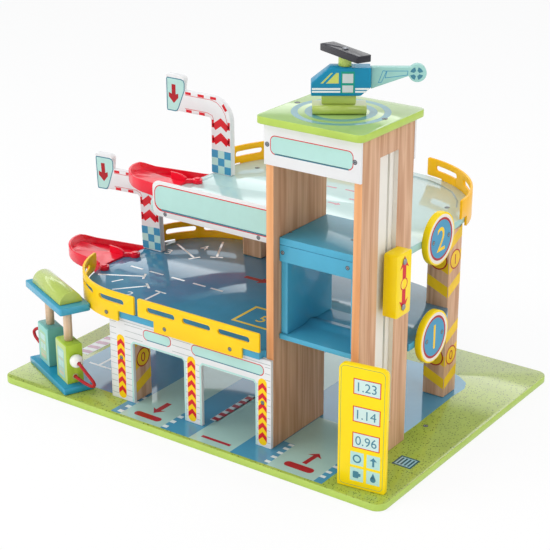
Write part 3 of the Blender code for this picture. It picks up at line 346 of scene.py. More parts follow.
# Base board. A 10 mm board, leaf green at its edges, with a road map printed on top
# under a clear high-gloss lacquer; its edges are rubbed round.
def lacquer(name, tone, coat=0.25, rough=0.4, gloss=0.06, mottle=0.05, peel=0.02):
    """Printed or sprayed colour under clear coat: the screen tone, a cloudy variation
    of it by the share mottle, and the slight waviness of the coat."""
    made, tree, shader = blank_finish(name, Roughness=rough, Specular_IOR_Level=0.12,
                                      Coat_Weight=coat, Coat_Roughness=gloss)
    place = added(tree, "TexCoord").outputs["Object"]
    cloud = added(tree, "TexNoise", Scale=26.0, Detail=5.0, Roughness=0.62, Vector=place)
    dark, pale = ((*np.clip(np.array(colour(*tone)[:3]) * share, 0, 1).tolist(), 1.0)
                  for share in (1.0 - mottle, 1.0 + mottle))
    skin = added(tree, "TexNoise", Scale=140.0, Detail=3.0, Vector=place)
    bump = added(tree, "Bump", Strength=peel, Distance=0.0006, Height=skin.outputs["Fac"])
    wired(tree, shader, Base_Color=toned(tree, cloud.outputs["Fac"], 0.32, 0.68, dark, pale),
          Normal=bump.outputs["Normal"], Coat_Normal=bump.outputs["Normal"])
    return made


def rubbed(node, width, finish, slot, body="garage", faced=None):
    """A board's own surface with its flat faces joined and every edge sharper than
    40 degrees rounded to the width; faced gives the side that has another finish."""
    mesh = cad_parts[node].data.copy()
    mesh.materials.clear()
    work = bmesh.new()
    work.from_mesh(mesh)
    bmesh.ops.remove_doubles(work, verts=work.verts[:], dist=2e-6)
    bmesh.ops.dissolve_limit(work, angle_limit=0.012, verts=work.verts[:], edges=work.edges[:])
    for face in work.faces:
        face.material_index = 0
        if faced is not None and face.normal.dot(faced) > 0.95:
            face.material_index = 1
    work.to_mesh(mesh)
    work.free()
    mesh.shade_smooth()
    piece = shown(node + "_finished", mesh, finish, slot, body, node)
    if width > 0:
        edge = piece.modifiers.new("rubbed_edge", "BEVEL")
        edge.width = width * 0.001
        edge.segments = 2
        edge.limit_method = "ANGLE"
        edge.angle_limit = math.radians(40)
        edge.harden_normals = True
    return piece


def side_of(origin, u, v):
    """A flat face to print on: its zero and two directions along it, in millimetres
    from the base's front left corner. The third direction points out of the face."""
    u, v = np.array(u, float), np.array(v, float)
    return np.array(origin, float), u, v, np.cross(u, v)


def rect(x0, x1, y0, y1):
    return np.array(((x0, y0), (x1, y0), (x1, y1), (x0, y1)), float)


def round_rect(x0, x1, y0, y1, r, steps=6):
    """A rectangle with quarter circles of radius r at its corners."""
    turn = np.linspace(0.0, math.pi / 2, steps + 1)
    out = []
    for cx, cy, start in ((x1 - r, y0 + r, -0.5), (x1 - r, y1 - r, 0.0),
                          (x0 + r, y1 - r, 0.5), (x0 + r, y0 + r, 1.0)):
        a = turn + start * math.pi
        out.append(np.column_stack((cx + r * np.cos(a), cy + r * np.sin(a))))
    return np.vstack(out)


def disc(cx, cy, r, steps=48):
    a = np.linspace(0.0, 2 * math.pi, steps, endpoint=False)
    return np.column_stack((cx + r * np.cos(a), cy + r * np.sin(a)))


def line(points, width, closed=False):
    """A drawn line of even width: each point pushed half the width to both sides
    along the mean of its neighbours' normals. A closed line is a pair of outlines."""
    p = np.asarray(points, float)
    step = np.diff(np.vstack((p, p[:1])) if closed else p, axis=0)
    step /= np.linalg.norm(step, axis=1)[:, None]
    before = np.roll(step, 1, axis=0) if closed else np.vstack((step[:1], step))
    after = step if closed else np.vstack((step, step[-1:]))
    out = np.column_stack((before[:, 1] + after[:, 1], -before[:, 0] - after[:, 0]))
    out /= np.linalg.norm(out, axis=1)[:, None]
    reach = 0.5 * width / np.clip(out[:, 0] * after[:, 1] - out[:, 1] * after[:, 0], 0.3, 1.0)
    one, two = p + out * reach[:, None], p - out * reach[:, None]
    if closed:
        return one, two
    return np.vstack((one, two[::-1]))


def arrow(tail, tip, shaft, head, length, barb=0.0):
    """A straight arrow: shaft and head widths, the head's length, and how far its
    barbs reach back past the neck."""
    tail, tip = np.array(tail, float), np.array(tip, float)
    way = (tip - tail) / np.linalg.norm(tip - tail)
    side = np.array((way[1], -way[0]))
    neck, back = tip - way * (length - barb), tip - way * length
    return np.array((tail + side * shaft / 2, neck + side * shaft / 2, back + side * head / 2, tip,
                     back - side * head / 2, neck - side * shaft / 2, tail - side * shaft / 2))


def spun(outline, centre, degrees):
    """An outline turned round a centre."""
    c, s = math.cos(math.radians(degrees)), math.sin(math.radians(degrees))
    return (np.asarray(outline) - centre) @ np.array(((c, s), (-s, c))) + centre


def number(text, height, centre, degrees=0.0):
    """A plain figure as flat triangles, height tall and centred."""
    type_set = bpy.data.curves.new("figure", "FONT")
    type_set.body = text
    type_set.extrude = 0.5
    type_set.resolution_u = 6
    holder = bpy.data.objects.new("figure", type_set)
    bpy.context.scene.collection.objects.link(holder)
    bpy.context.view_layer.update()
    mesh = bpy.data.meshes.new_from_object(holder)
    bpy.data.objects.remove(holder)
    work = bmesh.new()
    work.from_mesh(mesh)
    bmesh.ops.remove_doubles(work, verts=work.verts[:], dist=1e-5)
    bmesh.ops.recalc_face_normals(work, faces=work.faces[:])
    work.verts.index_update()
    points = np.array([v.co[:] for v in work.verts])
    faces = [[v.index for v in f.verts] for f in work.faces]
    work.free()
    low, high = points[:, :2].min(0), points[:, :2].max(0)
    flat = (points[:, :2] - (low + high) / 2) * height / (high[1] - low[1])
    return spun(flat + centre, np.array(centre, float), degrees), points[:, 2] > 0, faces


FILM_STEP = 0.06
FILM_THICK = 0.05


def film(name, on, shapes, layer, finish, slot, body):
    """A printed film: each shape is carried along the face's normal up to FILM_STEP
    times its layer from FILM_THICK below, so that a later layer covers an earlier one."""
    origin, u, v, n = on
    low, high = FILM_STEP * layer - FILM_THICK, FILM_STEP * layer
    points, faces = [], []
    start = 0
    for shape in shapes:
        if isinstance(shape, tuple) and len(shape) == 3:
            flat, raised, own = shape
            height = np.where(raised, high, low)
            faces += [[start + i for i in f] for f in own]
        elif isinstance(shape, tuple):
            outer, inner = shape
            if ((outer - outer.mean(0)) ** 2).sum() < ((inner - inner.mean(0)) ** 2).sum():
                outer, inner = inner, outer
            if winding(outer) < 0:
                outer, inner = outer[::-1], inner[::-1]
            m = len(outer)
            flat = np.vstack((outer, inner, outer, inner))
            height = np.repeat((high, low), 2 * m)
            i = np.arange(m)
            j = (i + 1) % m
            quads = np.vstack((np.column_stack((i, j, j + m, i + m)),
                               np.column_stack((j + 2 * m, i + 2 * m, i + 3 * m, j + 3 * m)),
                               np.column_stack((i + 2 * m, j + 2 * m, j, i)),
                               np.column_stack((j + 3 * m, i + 3 * m, i + m, j + m))))
            faces += (quads + start).tolist()
        else:
            outline = shape if winding(shape) > 0 else shape[::-1]
            m = len(outline)
            flat = np.vstack((outline, outline))
            height = np.repeat((high, low), m)
            i = np.arange(m)
            j = (i + 1) % m
            faces += [(i + start).tolist(), (i[::-1] + m + start).tolist()]
            faces += (np.column_stack((i + m, j + m, j, i)) + start).tolist()
        points.append(origin + flat[:, :1] * u + flat[:, 1:2] * v + height[:, None] * n)
        start += len(flat)
    mesh = bpy.data.meshes.new(name)
    mesh.from_pydata(metres(np.vstack(points)).tolist(), [], faces)
    return shown(name, mesh, finish, slot, body)


def prints(on, slot, *films, body="garage"):
    """Films printed on one face, each given as its name, layer, finish and shapes."""
    for name, layer, finish, shapes in films:
        film(name, on, shapes, layer, finish, slot, body)


def winding(outline):
    """Twice the signed area: positive when the outline runs anticlockwise."""
    x, y = outline[:, 0], outline[:, 1]
    return float((x * np.roll(y, -1) - y * np.roll(x, -1)).sum())


def screw(name, at, outward, r, rise, body="garage"):
    """A domed cross-head screw: profile h(q) = rise (1 - q^4) for q from 0 to 1 over
    the radius, turned once round, with a cross sunk in by 0.6 rise near the axes. A
    dark film round it is painted shade, the shadow in its countersink."""
    n = np.array(outward, float)
    u = np.cross(n, (0.0, 0.0, 1.0) if abs(n[2]) < 0.9 else (1.0, 0.0, 0.0))
    u /= np.linalg.norm(u)
    v = np.cross(n, u)
    q = np.linspace(0.0, 1.0, 9)[:, None]
    a = np.linspace(0.0, 2 * math.pi, 32, endpoint=False)[None, :]
    cross = (np.minimum(np.abs(np.cos(a)), np.abs(np.sin(a))) * q < 0.14) & (q < 0.62)
    h = rise * (1.0 - q ** 4) - 0.6 * rise * cross
    top = (np.array(at, float) + (q * r * np.cos(a))[..., None] * u
           + (q * r * np.sin(a))[..., None] * v + h[..., None] * n)
    foot = top[-1] - 0.8 * n
    mesh = grid_mesh(name, metres(np.concatenate((top, foot[None]))), True, True)
    mesh.set_sharp_from_angle(angle=math.radians(40))
    # The dark ring under the head is painted shade: the shadow in its countersink.
    prints((np.array(at, float), u, v, n), "steel",
           (name + "_shade_ring", 4, countersink_shade, [disc(0, 0, r + 0.4, 24)]), body=body)
    return shown(name, mesh, steel, "steel", body)


def metal(name, tone, rough):
    """Plated steel with a fine brushed variation in its roughness."""
    made, tree, shader = blank_finish(name, Base_Color=tone, Metallic=1.0)
    brush = added(tree, "TexNoise", Scale=1800.0, Vector=added(tree, "TexCoord").outputs["Object"])
    spread = added(tree, "MapRange", Value=brush.outputs["Fac"], To_Min=rough - 0.08,
                   To_Max=rough + 0.08)
    wired(tree, shader, Roughness=spread.outputs["Result"])
    return made


def speckled(name, tone, mark):
    """Printed grass: the lacquered tone with short darker ticks scattered over it."""
    made = lacquer(name, tone, coat=1.0, mottle=0.1)
    tree = made.node_tree
    shader = tree.nodes["Principled BSDF"]
    drawn = added(tree, "Mapping", Scale=(380.0, 230.0, 200.0),
                  Vector=added(tree, "TexCoord").outputs["Object"])
    ticks = added(tree, "TexVoronoi", Scale=1.0, Vector=drawn.outputs["Vector"])
    mix = added(tree, "Mix")
    mix.data_type = "RGBA"
    wired(tree, mix, A=shader.inputs["Base Color"].links[0].from_socket, B=colour(*mark),
          Factor=worked(tree, "LESS_THAN", ticks.outputs["Distance"], 0.27))
    wired(tree, shader, Base_Color=mix.outputs["Result"])
    return made


leaf_edge = lacquer("leaf_edge", (182, 208, 98))
grass = speckled("grass", (168, 188, 74), (104, 122, 40))
road_blue = lacquer("road_blue", (74, 152, 186), coat=1.0)
lane_mint = lacquer("lane_mint", (172, 208, 198), coat=1.0)
top_white = lacquer("top_white", (228, 238, 236), coat=1.0, mottle=0.02)
top_red = lacquer("top_red", (176, 24, 38), coat=1.0)
top_yellow = lacquer("top_yellow", (240, 205, 60), coat=1.0)
top_dark = lacquer("top_dark", (36, 88, 100), coat=1.0)
print_white = lacquer("print_white", (238, 240, 238), mottle=0.02)
print_red = lacquer("print_red", (214, 30, 42))
print_dark_red = lacquer("print_dark_red", (172, 26, 36))
print_yellow = lacquer("print_yellow", (252, 206, 16))
print_blue = lacquer("print_blue", (66, 150, 188))
print_teal = lacquer("print_teal", (70, 130, 150))
print_mint = lacquer("print_mint", (182, 222, 214), mottle=0.03)
# Painted shade: the dark film round each screw head.
countersink_shade = lacquer("countersink_shade", (52, 60, 66))
print_grey = lacquer("print_grey", (176, 180, 178), mottle=0.08)
steel = metal("steel", (0.30, 0.31, 0.33, 1.0), 0.34)

rubbed("base_board", 1.0, [leaf_edge, grass], "base_board", faced=(0, 0, 1))
ground = side_of((0.0, 0.0, BASE_TOP), (1, 0, 0), (0, 1, 0))
road = np.array(((192, 5), (524, 5), (524, 46), (537, 70), (539, 200), (537, 300), (539, 330), (532, 347),
                 (516, 359), (500, 366), (60, 366), (42, 345), (40, 195), (58, 180), (60, 62), (70, 46),
                 (192, 45)), float)
right_lane = np.array(((443, 5), (512, 5), (512, 147), (426, 147), (426, 67), (443, 67)), float)
prints(ground, "base_board",
       ("base_road", 1, road_blue, [road]),
       ("base_lanes", 2, lane_mint, [rect(207, 275, 5, 330), rect(322, 387, 5, 330), right_lane]),
       ("base_arrows", 3, top_red, [arrow((242.5, 65), (242.5, 32), 8, 20, 13, 3),
                                    arrow((479, 34), (480.5, 65.5), 6.5, 21, 10, 2),
                                    round_rect(221, 264, 15, 26, 5.4), round_rect(458, 500, 17, 29, 5.8),
                                    rect(333, 378, 16, 21)]))
# Teeth printed along the lanes' edges: their shapes are print, their white is a painted highlight on mint
# teeth.
teeth = [rect(x, x + 7.5, y, y + 6.5) for x in (199.7, 275) for y in (9, 24.5, 40, 55.5)]
teeth += [rect(435.7, 443.2, y - 2.6, y + 2.6) for y in (12.9, 26.4, 39.1, 52.2, 63.4)]
teeth += [rect(511.8, 519.3, y - 2.6, y + 2.6) for y in (20.5, 33.6, 49.0)]
prints(ground, "base_board",
       ("base_teeth", 3, top_white, teeth),
       ("base_dash_ground", 2, top_white, [rect(313.6, 325.4, 60, 146)]),
       ("base_dashes", 3, top_red, [rect(314, 325, 62.5 + 14.4 * k, 70 + 14.4 * k) for k in range(6)]))
mauve = lacquer("mauve", (176, 120, 146), coat=1.0)
prints(ground, "base_board",
       ("base_hatch_ground", 2, top_white, [rect(31, 51, 117, 186)]),
       ("base_hatch", 3, mauve, [np.array(((32, y), (50, y + 3), (50, y + 12), (32, y + 9)), float)
                                 for y in (119, 136.5, 154, 171.5)]),
       ("base_bays", 2, top_white, [rect(85, 89, 102, 150), rect(70, 102, 98, 102),
                                    rect(102, 160, 99, 102)]),
       ("grate_rim", 1, top_dark, [rect(565.5, 592, 96.5, 121.5)]),
       ("grate_field", 2, lacquer("grate_pale", (160, 204, 216), coat=1.0),
        [rect(568, 589.5, 99, 119)]),
       ("grate_bars", 3, top_dark, [rect(x, x + 2.6, 100.5, 117.5) for x in (570, 575, 580, 585)]))
screw("base_screw", (550.5, 206.0, BASE_TOP), (0, 0, 1), 3.0, 0.5)


# Tower walls and posts. Planed pine, clear varnished, its grain standing upright. The
# posts carry slanting yellow bands that meet at the corners, and roundels.
def pine(name, light, dark):
    """Pine: rings drawn out along the height, with a finer fibre over them."""
    made, tree, shader = blank_finish(name, Roughness=0.5, Specular_IOR_Level=0.25, Coat_Weight=0.15,
                                      Coat_Roughness=0.3)
    place = added(tree, "TexCoord").outputs["Object"]
    stretch = added(tree, "Mapping", Scale=(62.0, 62.0, 3.2), Vector=place)
    rings = added(tree, "TexNoise", Scale=1.0, Detail=2.0, Distortion=0.4,
                  Vector=stretch.outputs["Vector"])
    saw = worked(tree, "PINGPONG", worked(tree, "MULTIPLY", rings.outputs["Fac"], 8.0), 1.0)
    fine = added(tree, "Mapping", Scale=(460.0, 460.0, 9.0), Vector=place)
    fibre = added(tree, "TexNoise", Scale=1.0, Detail=4.0, Vector=fine.outputs["Vector"])
    both = added(tree, "Mix", Factor=0.55, A=saw, B=fibre.outputs["Fac"])
    bump = added(tree, "Bump", Strength=0.12, Distance=0.0003, Height=fibre.outputs["Fac"])
    wired(tree, shader, Base_Color=toned(tree, both.outputs["Result"], 0.2, 0.85, light, dark),
          Normal=bump.outputs["Normal"])
    return made


wall_pine = pine("wall_pine", colour(222, 180, 146), colour(186, 134, 98))
edge_pine = pine("edge_pine", colour(240, 178, 124), colour(214, 142, 86))
pale_pine = pine("pale_pine", colour(236, 206, 176), colour(214, 176, 140))
for node in ("tower_left_wall", "tower_right_wall"):
    rubbed(node, 0.7, [wall_pine, edge_pine], "natural_wood", faced=(0, -1, 0))
for node in ("post_front_left", "post_right", "post_back_lower", "post_back_upper"):
    rubbed(node, 1.2, wall_pine, "natural_wood")


def banded(node, starts, roundels):
    """The four faces of a post: bands 15 mm thick that rise 13 mm towards its front
    left and back right corners, and a roundel with a plain figure on each face."""
    low, high = (millimetres(corner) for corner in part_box(node))
    corners = ((low[0], low[1]), (high[0], low[1]), (high[0], high[1]), (low[0], high[1]))
    for k, along in enumerate(((1, 0, 0), (0, 1, 0), (-1, 0, 0), (0, -1, 0))):
        face = side_of((*corners[k], 0.0), along, (0, 0, 1))
        near, far = (13.0, 0.0) if k in (0, 2) else (0.0, 13.0)
        bands = [np.array(((0.8, z + near), (31.2, z + far), (31.2, z + far + 15), (0.8, z + near + 15)))
                 for z in starts]
        prints(face, "natural_wood",
               ("%s_bands_%d" % (node, k), 1, post_yellow, bands),
               ("%s_rings_%d" % (node, k), 2, print_dark_red, [disc(16, z, 13.4) for z, _ in roundels]),
               ("%s_fields_%d" % (node, k), 3, post_yellow, [disc(16, z, 11.6) for z, _ in roundels]),
               ("%s_figures_%d" % (node, k), 4, print_dark_red,
                [number(text, 13.5, (16, z)) for z, text in roundels]))


post_yellow = lacquer("post_yellow", (240, 196, 30), mottle=0.12)
banded("post_right", (22.0, 54.5, 87.5, 153.5, 186.0, 218.5), ((67.0, "0"), (203.5, "1")))
banded("post_front_left", (22.0, 54.5, 87.5), ((69.0, "0"),))


# Slot lining. Two cream plastic strips that line the long slot of the right wall,
# and cream paint on the slot's back edge.
cream = lacquer("cream", (236, 232, 222), gloss=0.3, mottle=0.02)
for node in ("slot_liner_front", "slot_liner_back"):
    rubbed(node, 0.3, cream, "cream_strip")
prints(side_of((536.3, 122.0, 0.0), (1, 0, 0), (0, 0, 1)), "cream_strip",
       ("slot_paint", 1, cream, [rect(0.6, 10.6, 50.5, 399.5)]))


# Tower head. Thin white boards tie the walls together, front and back, under the
# helipad board, which is leaf green with pale rings printed on it.
white_board = lacquer("white_board", (230, 230, 230), mottle=0.015)
for node in ("tower_header_front", "tower_header_back"):
    rubbed(node, 0.4, white_board, "white_board")
HEADER_Y = 41.0
ROOF_TOP = 438.9
header = side_of((0.0, HEADER_Y, 0.0), (1, 0, 0), (0, 0, 1))
prints(header, "white_board",
       ("header_plate_edge", 1, print_red, [round_rect(423.6, 537, 393, 416, 7.0)]),
       ("header_plate", 2, print_mint, [round_rect(424.7, 536, 394.2, 414.9, 6.0)]),
       ("header_plate_foot", 2, print_teal, [rect(430, 531, 393.0, 394.8)]))
for k, x in enumerate((419.5, 539.0)):
    screw("header_screw_%d" % k, (x, HEADER_Y, 404.0), (0, -1, 0), 2.6, 0.6)
helipad_edge = lacquer("helipad_edge", (180, 206, 92))
helipad_top = lacquer("helipad_top", (158, 192, 112), coat=1.0, gloss=0.03)
rubbed("helipad_board", 1.0, [helipad_edge, helipad_top], "leaf_board", faced=(0, 0, 1))
pad = side_of((480.9, 101.1, ROOF_TOP), (1, 0, 0), (0, 1, 0))
sky_print = lacquer("sky_print", (92, 158, 170), coat=1.0, gloss=0.03)
prints(pad, "leaf_board",
       ("helipad_rings", 1, sky_print,
        [(disc(0, 0, 58), disc(0, 0, 50)), (disc(0, 0, 42), disc(0, 0, 33))]))
for k, x in enumerate((418.0, 538.0)):
    screw("helipad_screw_%d" % k, (x, 104.0, ROOF_TOP), (0, 0, 1), 3.0, 0.5)


# Arched front. A thin white board with two gateways, lined with grey boarding and
# edged in mint, with three warning strips and two plain plates.
rubbed("arch_panel", 0.4, white_board, "white_board")
FRONT_Y = 39.5
front = side_of((0.0, FRONT_Y, 0.0), (1, 0, 0), (0, 0, 1))


def chevrons(cx, starts, wide, rise, thick):
    """Pointed bands across a strip, each from its ends up to a point above them."""
    return [np.array(((-wide / 2, z), (0, z + rise), (wide / 2, z), (wide / 2, z + thick),
                      (0, z + rise + thick), (-wide / 2, z + thick))) + (cx, 0) for z in starts]


strips = (184.0, 301.4, 412.7)
prints(front, "white_board",
       ("warning_strips", 1, print_yellow, [round_rect(x - 6.5, x + 6.5, 12, 104, 6.3) for x in strips]),
       ("warning_chevrons", 2, print_red, [s for x in strips for s in
                                           chevrons(x, np.arange(17.5, 90, 13.6), 12.6, 6.2, 6.8)]))
beside_gates = ((166.2, 176.8), (191.3, 201.0), (292.2, 294.2), (308.6, 314.2), (404.4, 405.6),
                (419.9, 424.6))
beside_plates = ((166.2, 176.8), (191.3, 221.5), (270.3, 300.8), (416.4, 424.6))
boards = []
for z in np.arange(17.0, 129.0, 8.6):
    for x0, x1 in beside_gates if z < 100 else beside_plates:
        if z < 123 or x0 < 170:
            boards.append(rect(x0, x1, z, z + 0.8))
boards += [rect(166.2, 424.6, 124.2, 125.0)]
gate_1 = np.array(((202.2, 10.5), (202.2, 94), (206, 98.4), (287, 98.4), (290.8, 94), (290.8, 10.5)))
gate_2 = gate_1 * ((84.5 + 3.4) / (290.8 - 202.2), 1.0)
gate_2[:, 0] += 315.5 - gate_2[0, 0]
plates = ((222.7, 269.0), (302.0, 415.0))
prints(front, "white_board",
       ("front_boarding", 1, print_grey, boards),
       ("gate_edging", 2, print_mint, [line(gate_1, 2.4), line(gate_2, 2.4)]),
       ("plate_edges", 2, print_red, [round_rect(a, b, 107, 122, 6.6) for a, b in plates]),
       ("plate_fields", 3, print_mint,
        [round_rect(a + 1.1, b - 1.1, 108.2, 120.9, 5.6) for a, b in plates]),
       ("plate_feet", 3, print_teal, [rect(a + 6, b - 6, 107.0, 108.4) for a, b in plates]))
for k, x in enumerate((184.0, 412.7)):
    screw("front_screw_%d" % k, (x, FRONT_Y, 71.0), (0, -1, 0), 2.5, 0.5)


# Decks. Two 10 mm boards: the lower one printed deep blue with white bay lines, the
# upper one pale, both under the same high gloss.
deck_1_edge = lacquer("deck_1_edge", (76, 162, 196))
deck_1_top = lacquer("deck_1_top", (62, 134, 168), coat=1.0, mottle=0.09)
deck_2_edge = lacquer("deck_2_edge", (166, 208, 200))
deck_2_top = lacquer("deck_2_top", (176, 208, 204), coat=1.0, mottle=0.02)
rubbed("deck_1", 0.8, [deck_1_edge, deck_1_top], "blue_deck", faced=(0, 0, 1))
rubbed("deck_2", 0.8, [deck_2_edge, deck_2_top], "pale_deck", faced=(0, 0, 1))
DECK_1_TOP = 140.1
DECK_2_TOP = 254.8
level_1 = side_of((0.0, 0.0, DECK_1_TOP), (1, 0, 0), (0, 1, 0))
level_2 = side_of((0.0, 0.0, DECK_2_TOP), (1, 0, 0), (0, 1, 0))
bays = [rect(x0, x1, 163, 166.5) for x0, x1 in ((97, 118), (131, 155), (170, 192), (207, 228),
                                                (237, 257), (430, 450))]
for a, b in (((80, 115), (137, 146)), ((132, 85), (163, 122)), ((191, 83), (191, 115)),
             ((144, 315), (174, 260)), ((95, 270), (150, 240))):
    bays.append(line((a, b), 3.2))
    along = np.subtract(b, a) / math.dist(a, b)
    across = np.array((-along[1], along[0])) * 9.0
    bays.append(line((b - across, b + across), 3.2))
prints(level_1, "blue_deck",
       ("deck_1_bays", 1, top_white, bays),
       ("deck_1_numbers", 1, top_white, [number("1", 17, (117, 113), -25), number("2", 17, (160, 85), 0),
                                         number("3", 17, (105, 238), 20),
                                         number("4", 17, (137, 280), 20)]),
       ("deck_1_arrow", 1, top_red, [arrow((250, 225), (290, 225), 8, 20, 14)]),
       ("deck_1_yellow", 1, top_yellow, [rect(323, 400, 95, 99), rect(323, 327, 99, 146),
                                         rect(323, 345, 146, 150), number("5", 20, (355, 120))]))
pink = lacquer("pink", (200, 130, 140), coat=1.0)
kerb = [(380, 436), (414, 431), (435, 423.6), (466, 405), (490, 376), (502, 352)]
prints(level_2, "pale_deck",
       ("deck_2_marks", 1, pink, [rect(314, 330, 326, 330), rect(343, 358, 328, 332),
                                  arrow((352, 273), (372, 273), 4, 10, 7), rect(368, 382, 298, 302)]),
       ("deck_2_kerb", 1, lacquer("slate", (110, 144, 156), coat=1.0), [line(kerb, 2.2)]))
for k, (x, y) in enumerate(((189.0, 338.0), (492.0, 345.0))):
    screw("deck_2_screw_%d" % k, (x, y, DECK_2_TOP), (0, 0, 1), 3.0, 0.5)


# Signboard. A long thin white board screwed on the upper deck's front edge, printed
# with one plain plate.
rubbed("deck_2_signboard", 0.4, white_board, "white_board")
BOARD_Y = 125.5
board = side_of((0.0, BOARD_Y, 0.0), (1, 0, 0), (0, 0, 1))
prints(board, "white_board",
       ("board_plate_edge", 1, print_red, [round_rect(176.5, 413, 250.5, 287, 12.0)]),
       ("board_plate", 2, print_mint, [round_rect(177.8, 411.7, 253.4, 285.6, 10.8)]),
       ("board_plate_foot", 2, print_teal, [rect(188, 402, 251.6, 253.8)]))
for k, x in enumerate((194.0, 345.0)):
    screw("board_screw_%d" % k, (x, BOARD_Y, 247.6), (0, -1, 0), 2.4, 0.5)


# Fences. Thin yellow board rails with round-ended slots, bent round the decks'
# corners and screwed to their edges by a tab. The lower back fence and the upper
# deck's fences take a darker, more orange copy of the yellow: painted shade.
fence_yellow = lacquer("fence_yellow", (255, 206, 24), mottle=0.03)
# A darker, more orange copy of the fence yellow: painted shade for the fences at the back and on the
# upper deck.
shaded_fence_yellow = lacquer("shaded_fence_yellow", (250, 186, 12), mottle=0.03)
for node, finish in (("fence_deck_1_front", fence_yellow), ("fence_deck_1_left", fence_yellow),
                     ("fence_deck_1_back", shaded_fence_yellow), ("fence_deck_2_left", shaded_fence_yellow),
                     ("fence_deck_2_right", shaded_fence_yellow)):
    rubbed(node, 0.4, finish, "yellow_board")
for k, x in enumerate((168.0, 265.5, 369.0)):
    screw("fence_screw_%d" % k, (x, 31.6, 135.0), (0, -1, 0), 2.4, 0.5)


# Exit signs. White boards of 9.5 mm cut to a post, an arm and a hanging plate, with
# a checkered foot, warning chevrons and dashed arm printed in front. The lower one
# leans a little.
CHECK = 11.1
for node, x, z, lean in (("exit_sign_1", 65.0, 140.4, 2.4), ("exit_sign_2", 149.5, 255.1, 0.0)):
    rubbed(node, 0.8, white_board, "white_board")
    y = millimetres(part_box(node)[0])[1]
    c, s = math.cos(math.radians(lean)), math.sin(math.radians(lean))
    face = side_of((x, y, z), (c, 0, s), (-s, 0, c))
    cells = [rect(i * CHECK + 0.1, (i + 1) * CHECK + 0.1, j * CHECK + 1, (j + 1) * CHECK + 1)
             for j in range(3) for i in range(3)]
    marks = [line(((4.5, top - 15), (16.75, top - 6), (29, top - 15)), 9.5) for top in (60.5, 81.5)]
    marks += [rect(a, a + 3.8, b, b + 11) for a in (0.9, 28.6) for b in (43.5, 66)]
    marks += [rect(a, b, 105.5, 109.4) for a, b in ((-45, -35), (-23, -12), (-1, 9))]
    marks += [rect(a, b, 80.1, 84.2) for a, b in ((-44, -34), (-21, -11))]
    marks += [np.array(((18.8, 99.4), (22.2, 102.4), (28.2, 93.6), (24.4, 91.2))),
              line(((-45, 104.6), (2, 104.6), (11, 102), (19, 95.5), (25, 86), (28, 74)), 0.7),
              line(((-46, 85.3), (-6, 85.3), (2, 82.5), (5, 76)), 0.7)]
    plate = np.array(((-77, 79), (-77.6, 82), (-77.6, 124), (-76.5, 125.6), (-52, 125.6), (-47.5, 124),
                      (-46.3, 120.5), (-46.8, 110), (-57.6, 84), (-60.5, 80), (-64, 79)), float)
    down = np.array(((-69, 117), (-69, 103), (-74.3, 104.5), (-74.3, 98.5), (-65.5, 90), (-57.4, 98.5),
                     (-57.4, 104.5), (-62, 103), (-62, 117)), float)
    prints(face, "white_board",
           (node + "_checks_dark", 1, print_blue, cells[0::2]),
           (node + "_checks_pale", 1, print_mint, cells[1::2]),
           (node + "_marks", 1, print_red, marks),
           (node + "_plate_line", 2, print_teal, [line(plate, 1.5, True)]),
           (node + "_plate_field", 1, print_mint, [plate]),
           (node + "_plate_arrow", 3, print_dark_red, [down]))


# Ramps. Glossy red moulded channels with thin walls, each hung from its deck by two
# eyes with pins.
def moulded(name, tone):
    """Glossy moulded plastic, slightly wavy, a little light coming through it."""
    made = lacquer(name, tone, coat=0.5, rough=0.3, gloss=0.12, mottle=0.03, peel=0.05)
    shader = made.node_tree.nodes["Principled BSDF"]
    shader.inputs["Subsurface Weight"].default_value = 0.08
    shader.inputs["Subsurface Radius"].default_value = (0.004, 0.001, 0.001)
    return made


ramp_red = moulded("ramp_red", (240, 24, 52))
for node in ("ramp_1", "ramp_2"):
    rubbed(node, 0.5, ramp_red, "red_plastic")
    for side in ("front", "back"):
        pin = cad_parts["%s_pin_%s" % (node, side)]
        pin.data.materials.clear()
        pin.data.materials.append(ramp_red)


# Level discs. Round yellow boards on the decks' right-hand edges, each with rings and
# a plain figure.
sun_yellow = lacquer("sun_yellow", (255, 220, 12), mottle=0.03)
disc_cream = lacquer("disc_cream", (236, 226, 214))
for node, y, z, text in (("level_disc_1", 209.0, 135.2, "1"), ("level_disc_2", 249.0, 249.9, "2")):
    rubbed(node, 0.8, sun_yellow, "yellow_board")
    x = millimetres(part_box(node)[1])[0]
    face = side_of((x, y, z), (0, 1, 0), (0, 0, 1))
    prints(face, "yellow_board",
           (node + "_white_ring", 1, disc_cream, [(disc(0, 0, 32), disc(0, 0, 28))]),
           (node + "_red_ring", 1, print_dark_red, [(disc(0, 0, 28), disc(0, 0, 25))]),
           (node + "_field", 1, print_blue, [disc(0, 0, 25)]),
           (node + "_number", 2, print_yellow, [number(text, 32, (0, 0))]))
    for k, side in enumerate((-19, 19)):
        screw("%s_screw_%d" % (node, k), (x, y + side, z), (1, 0, 0), 2.5, 0.5)


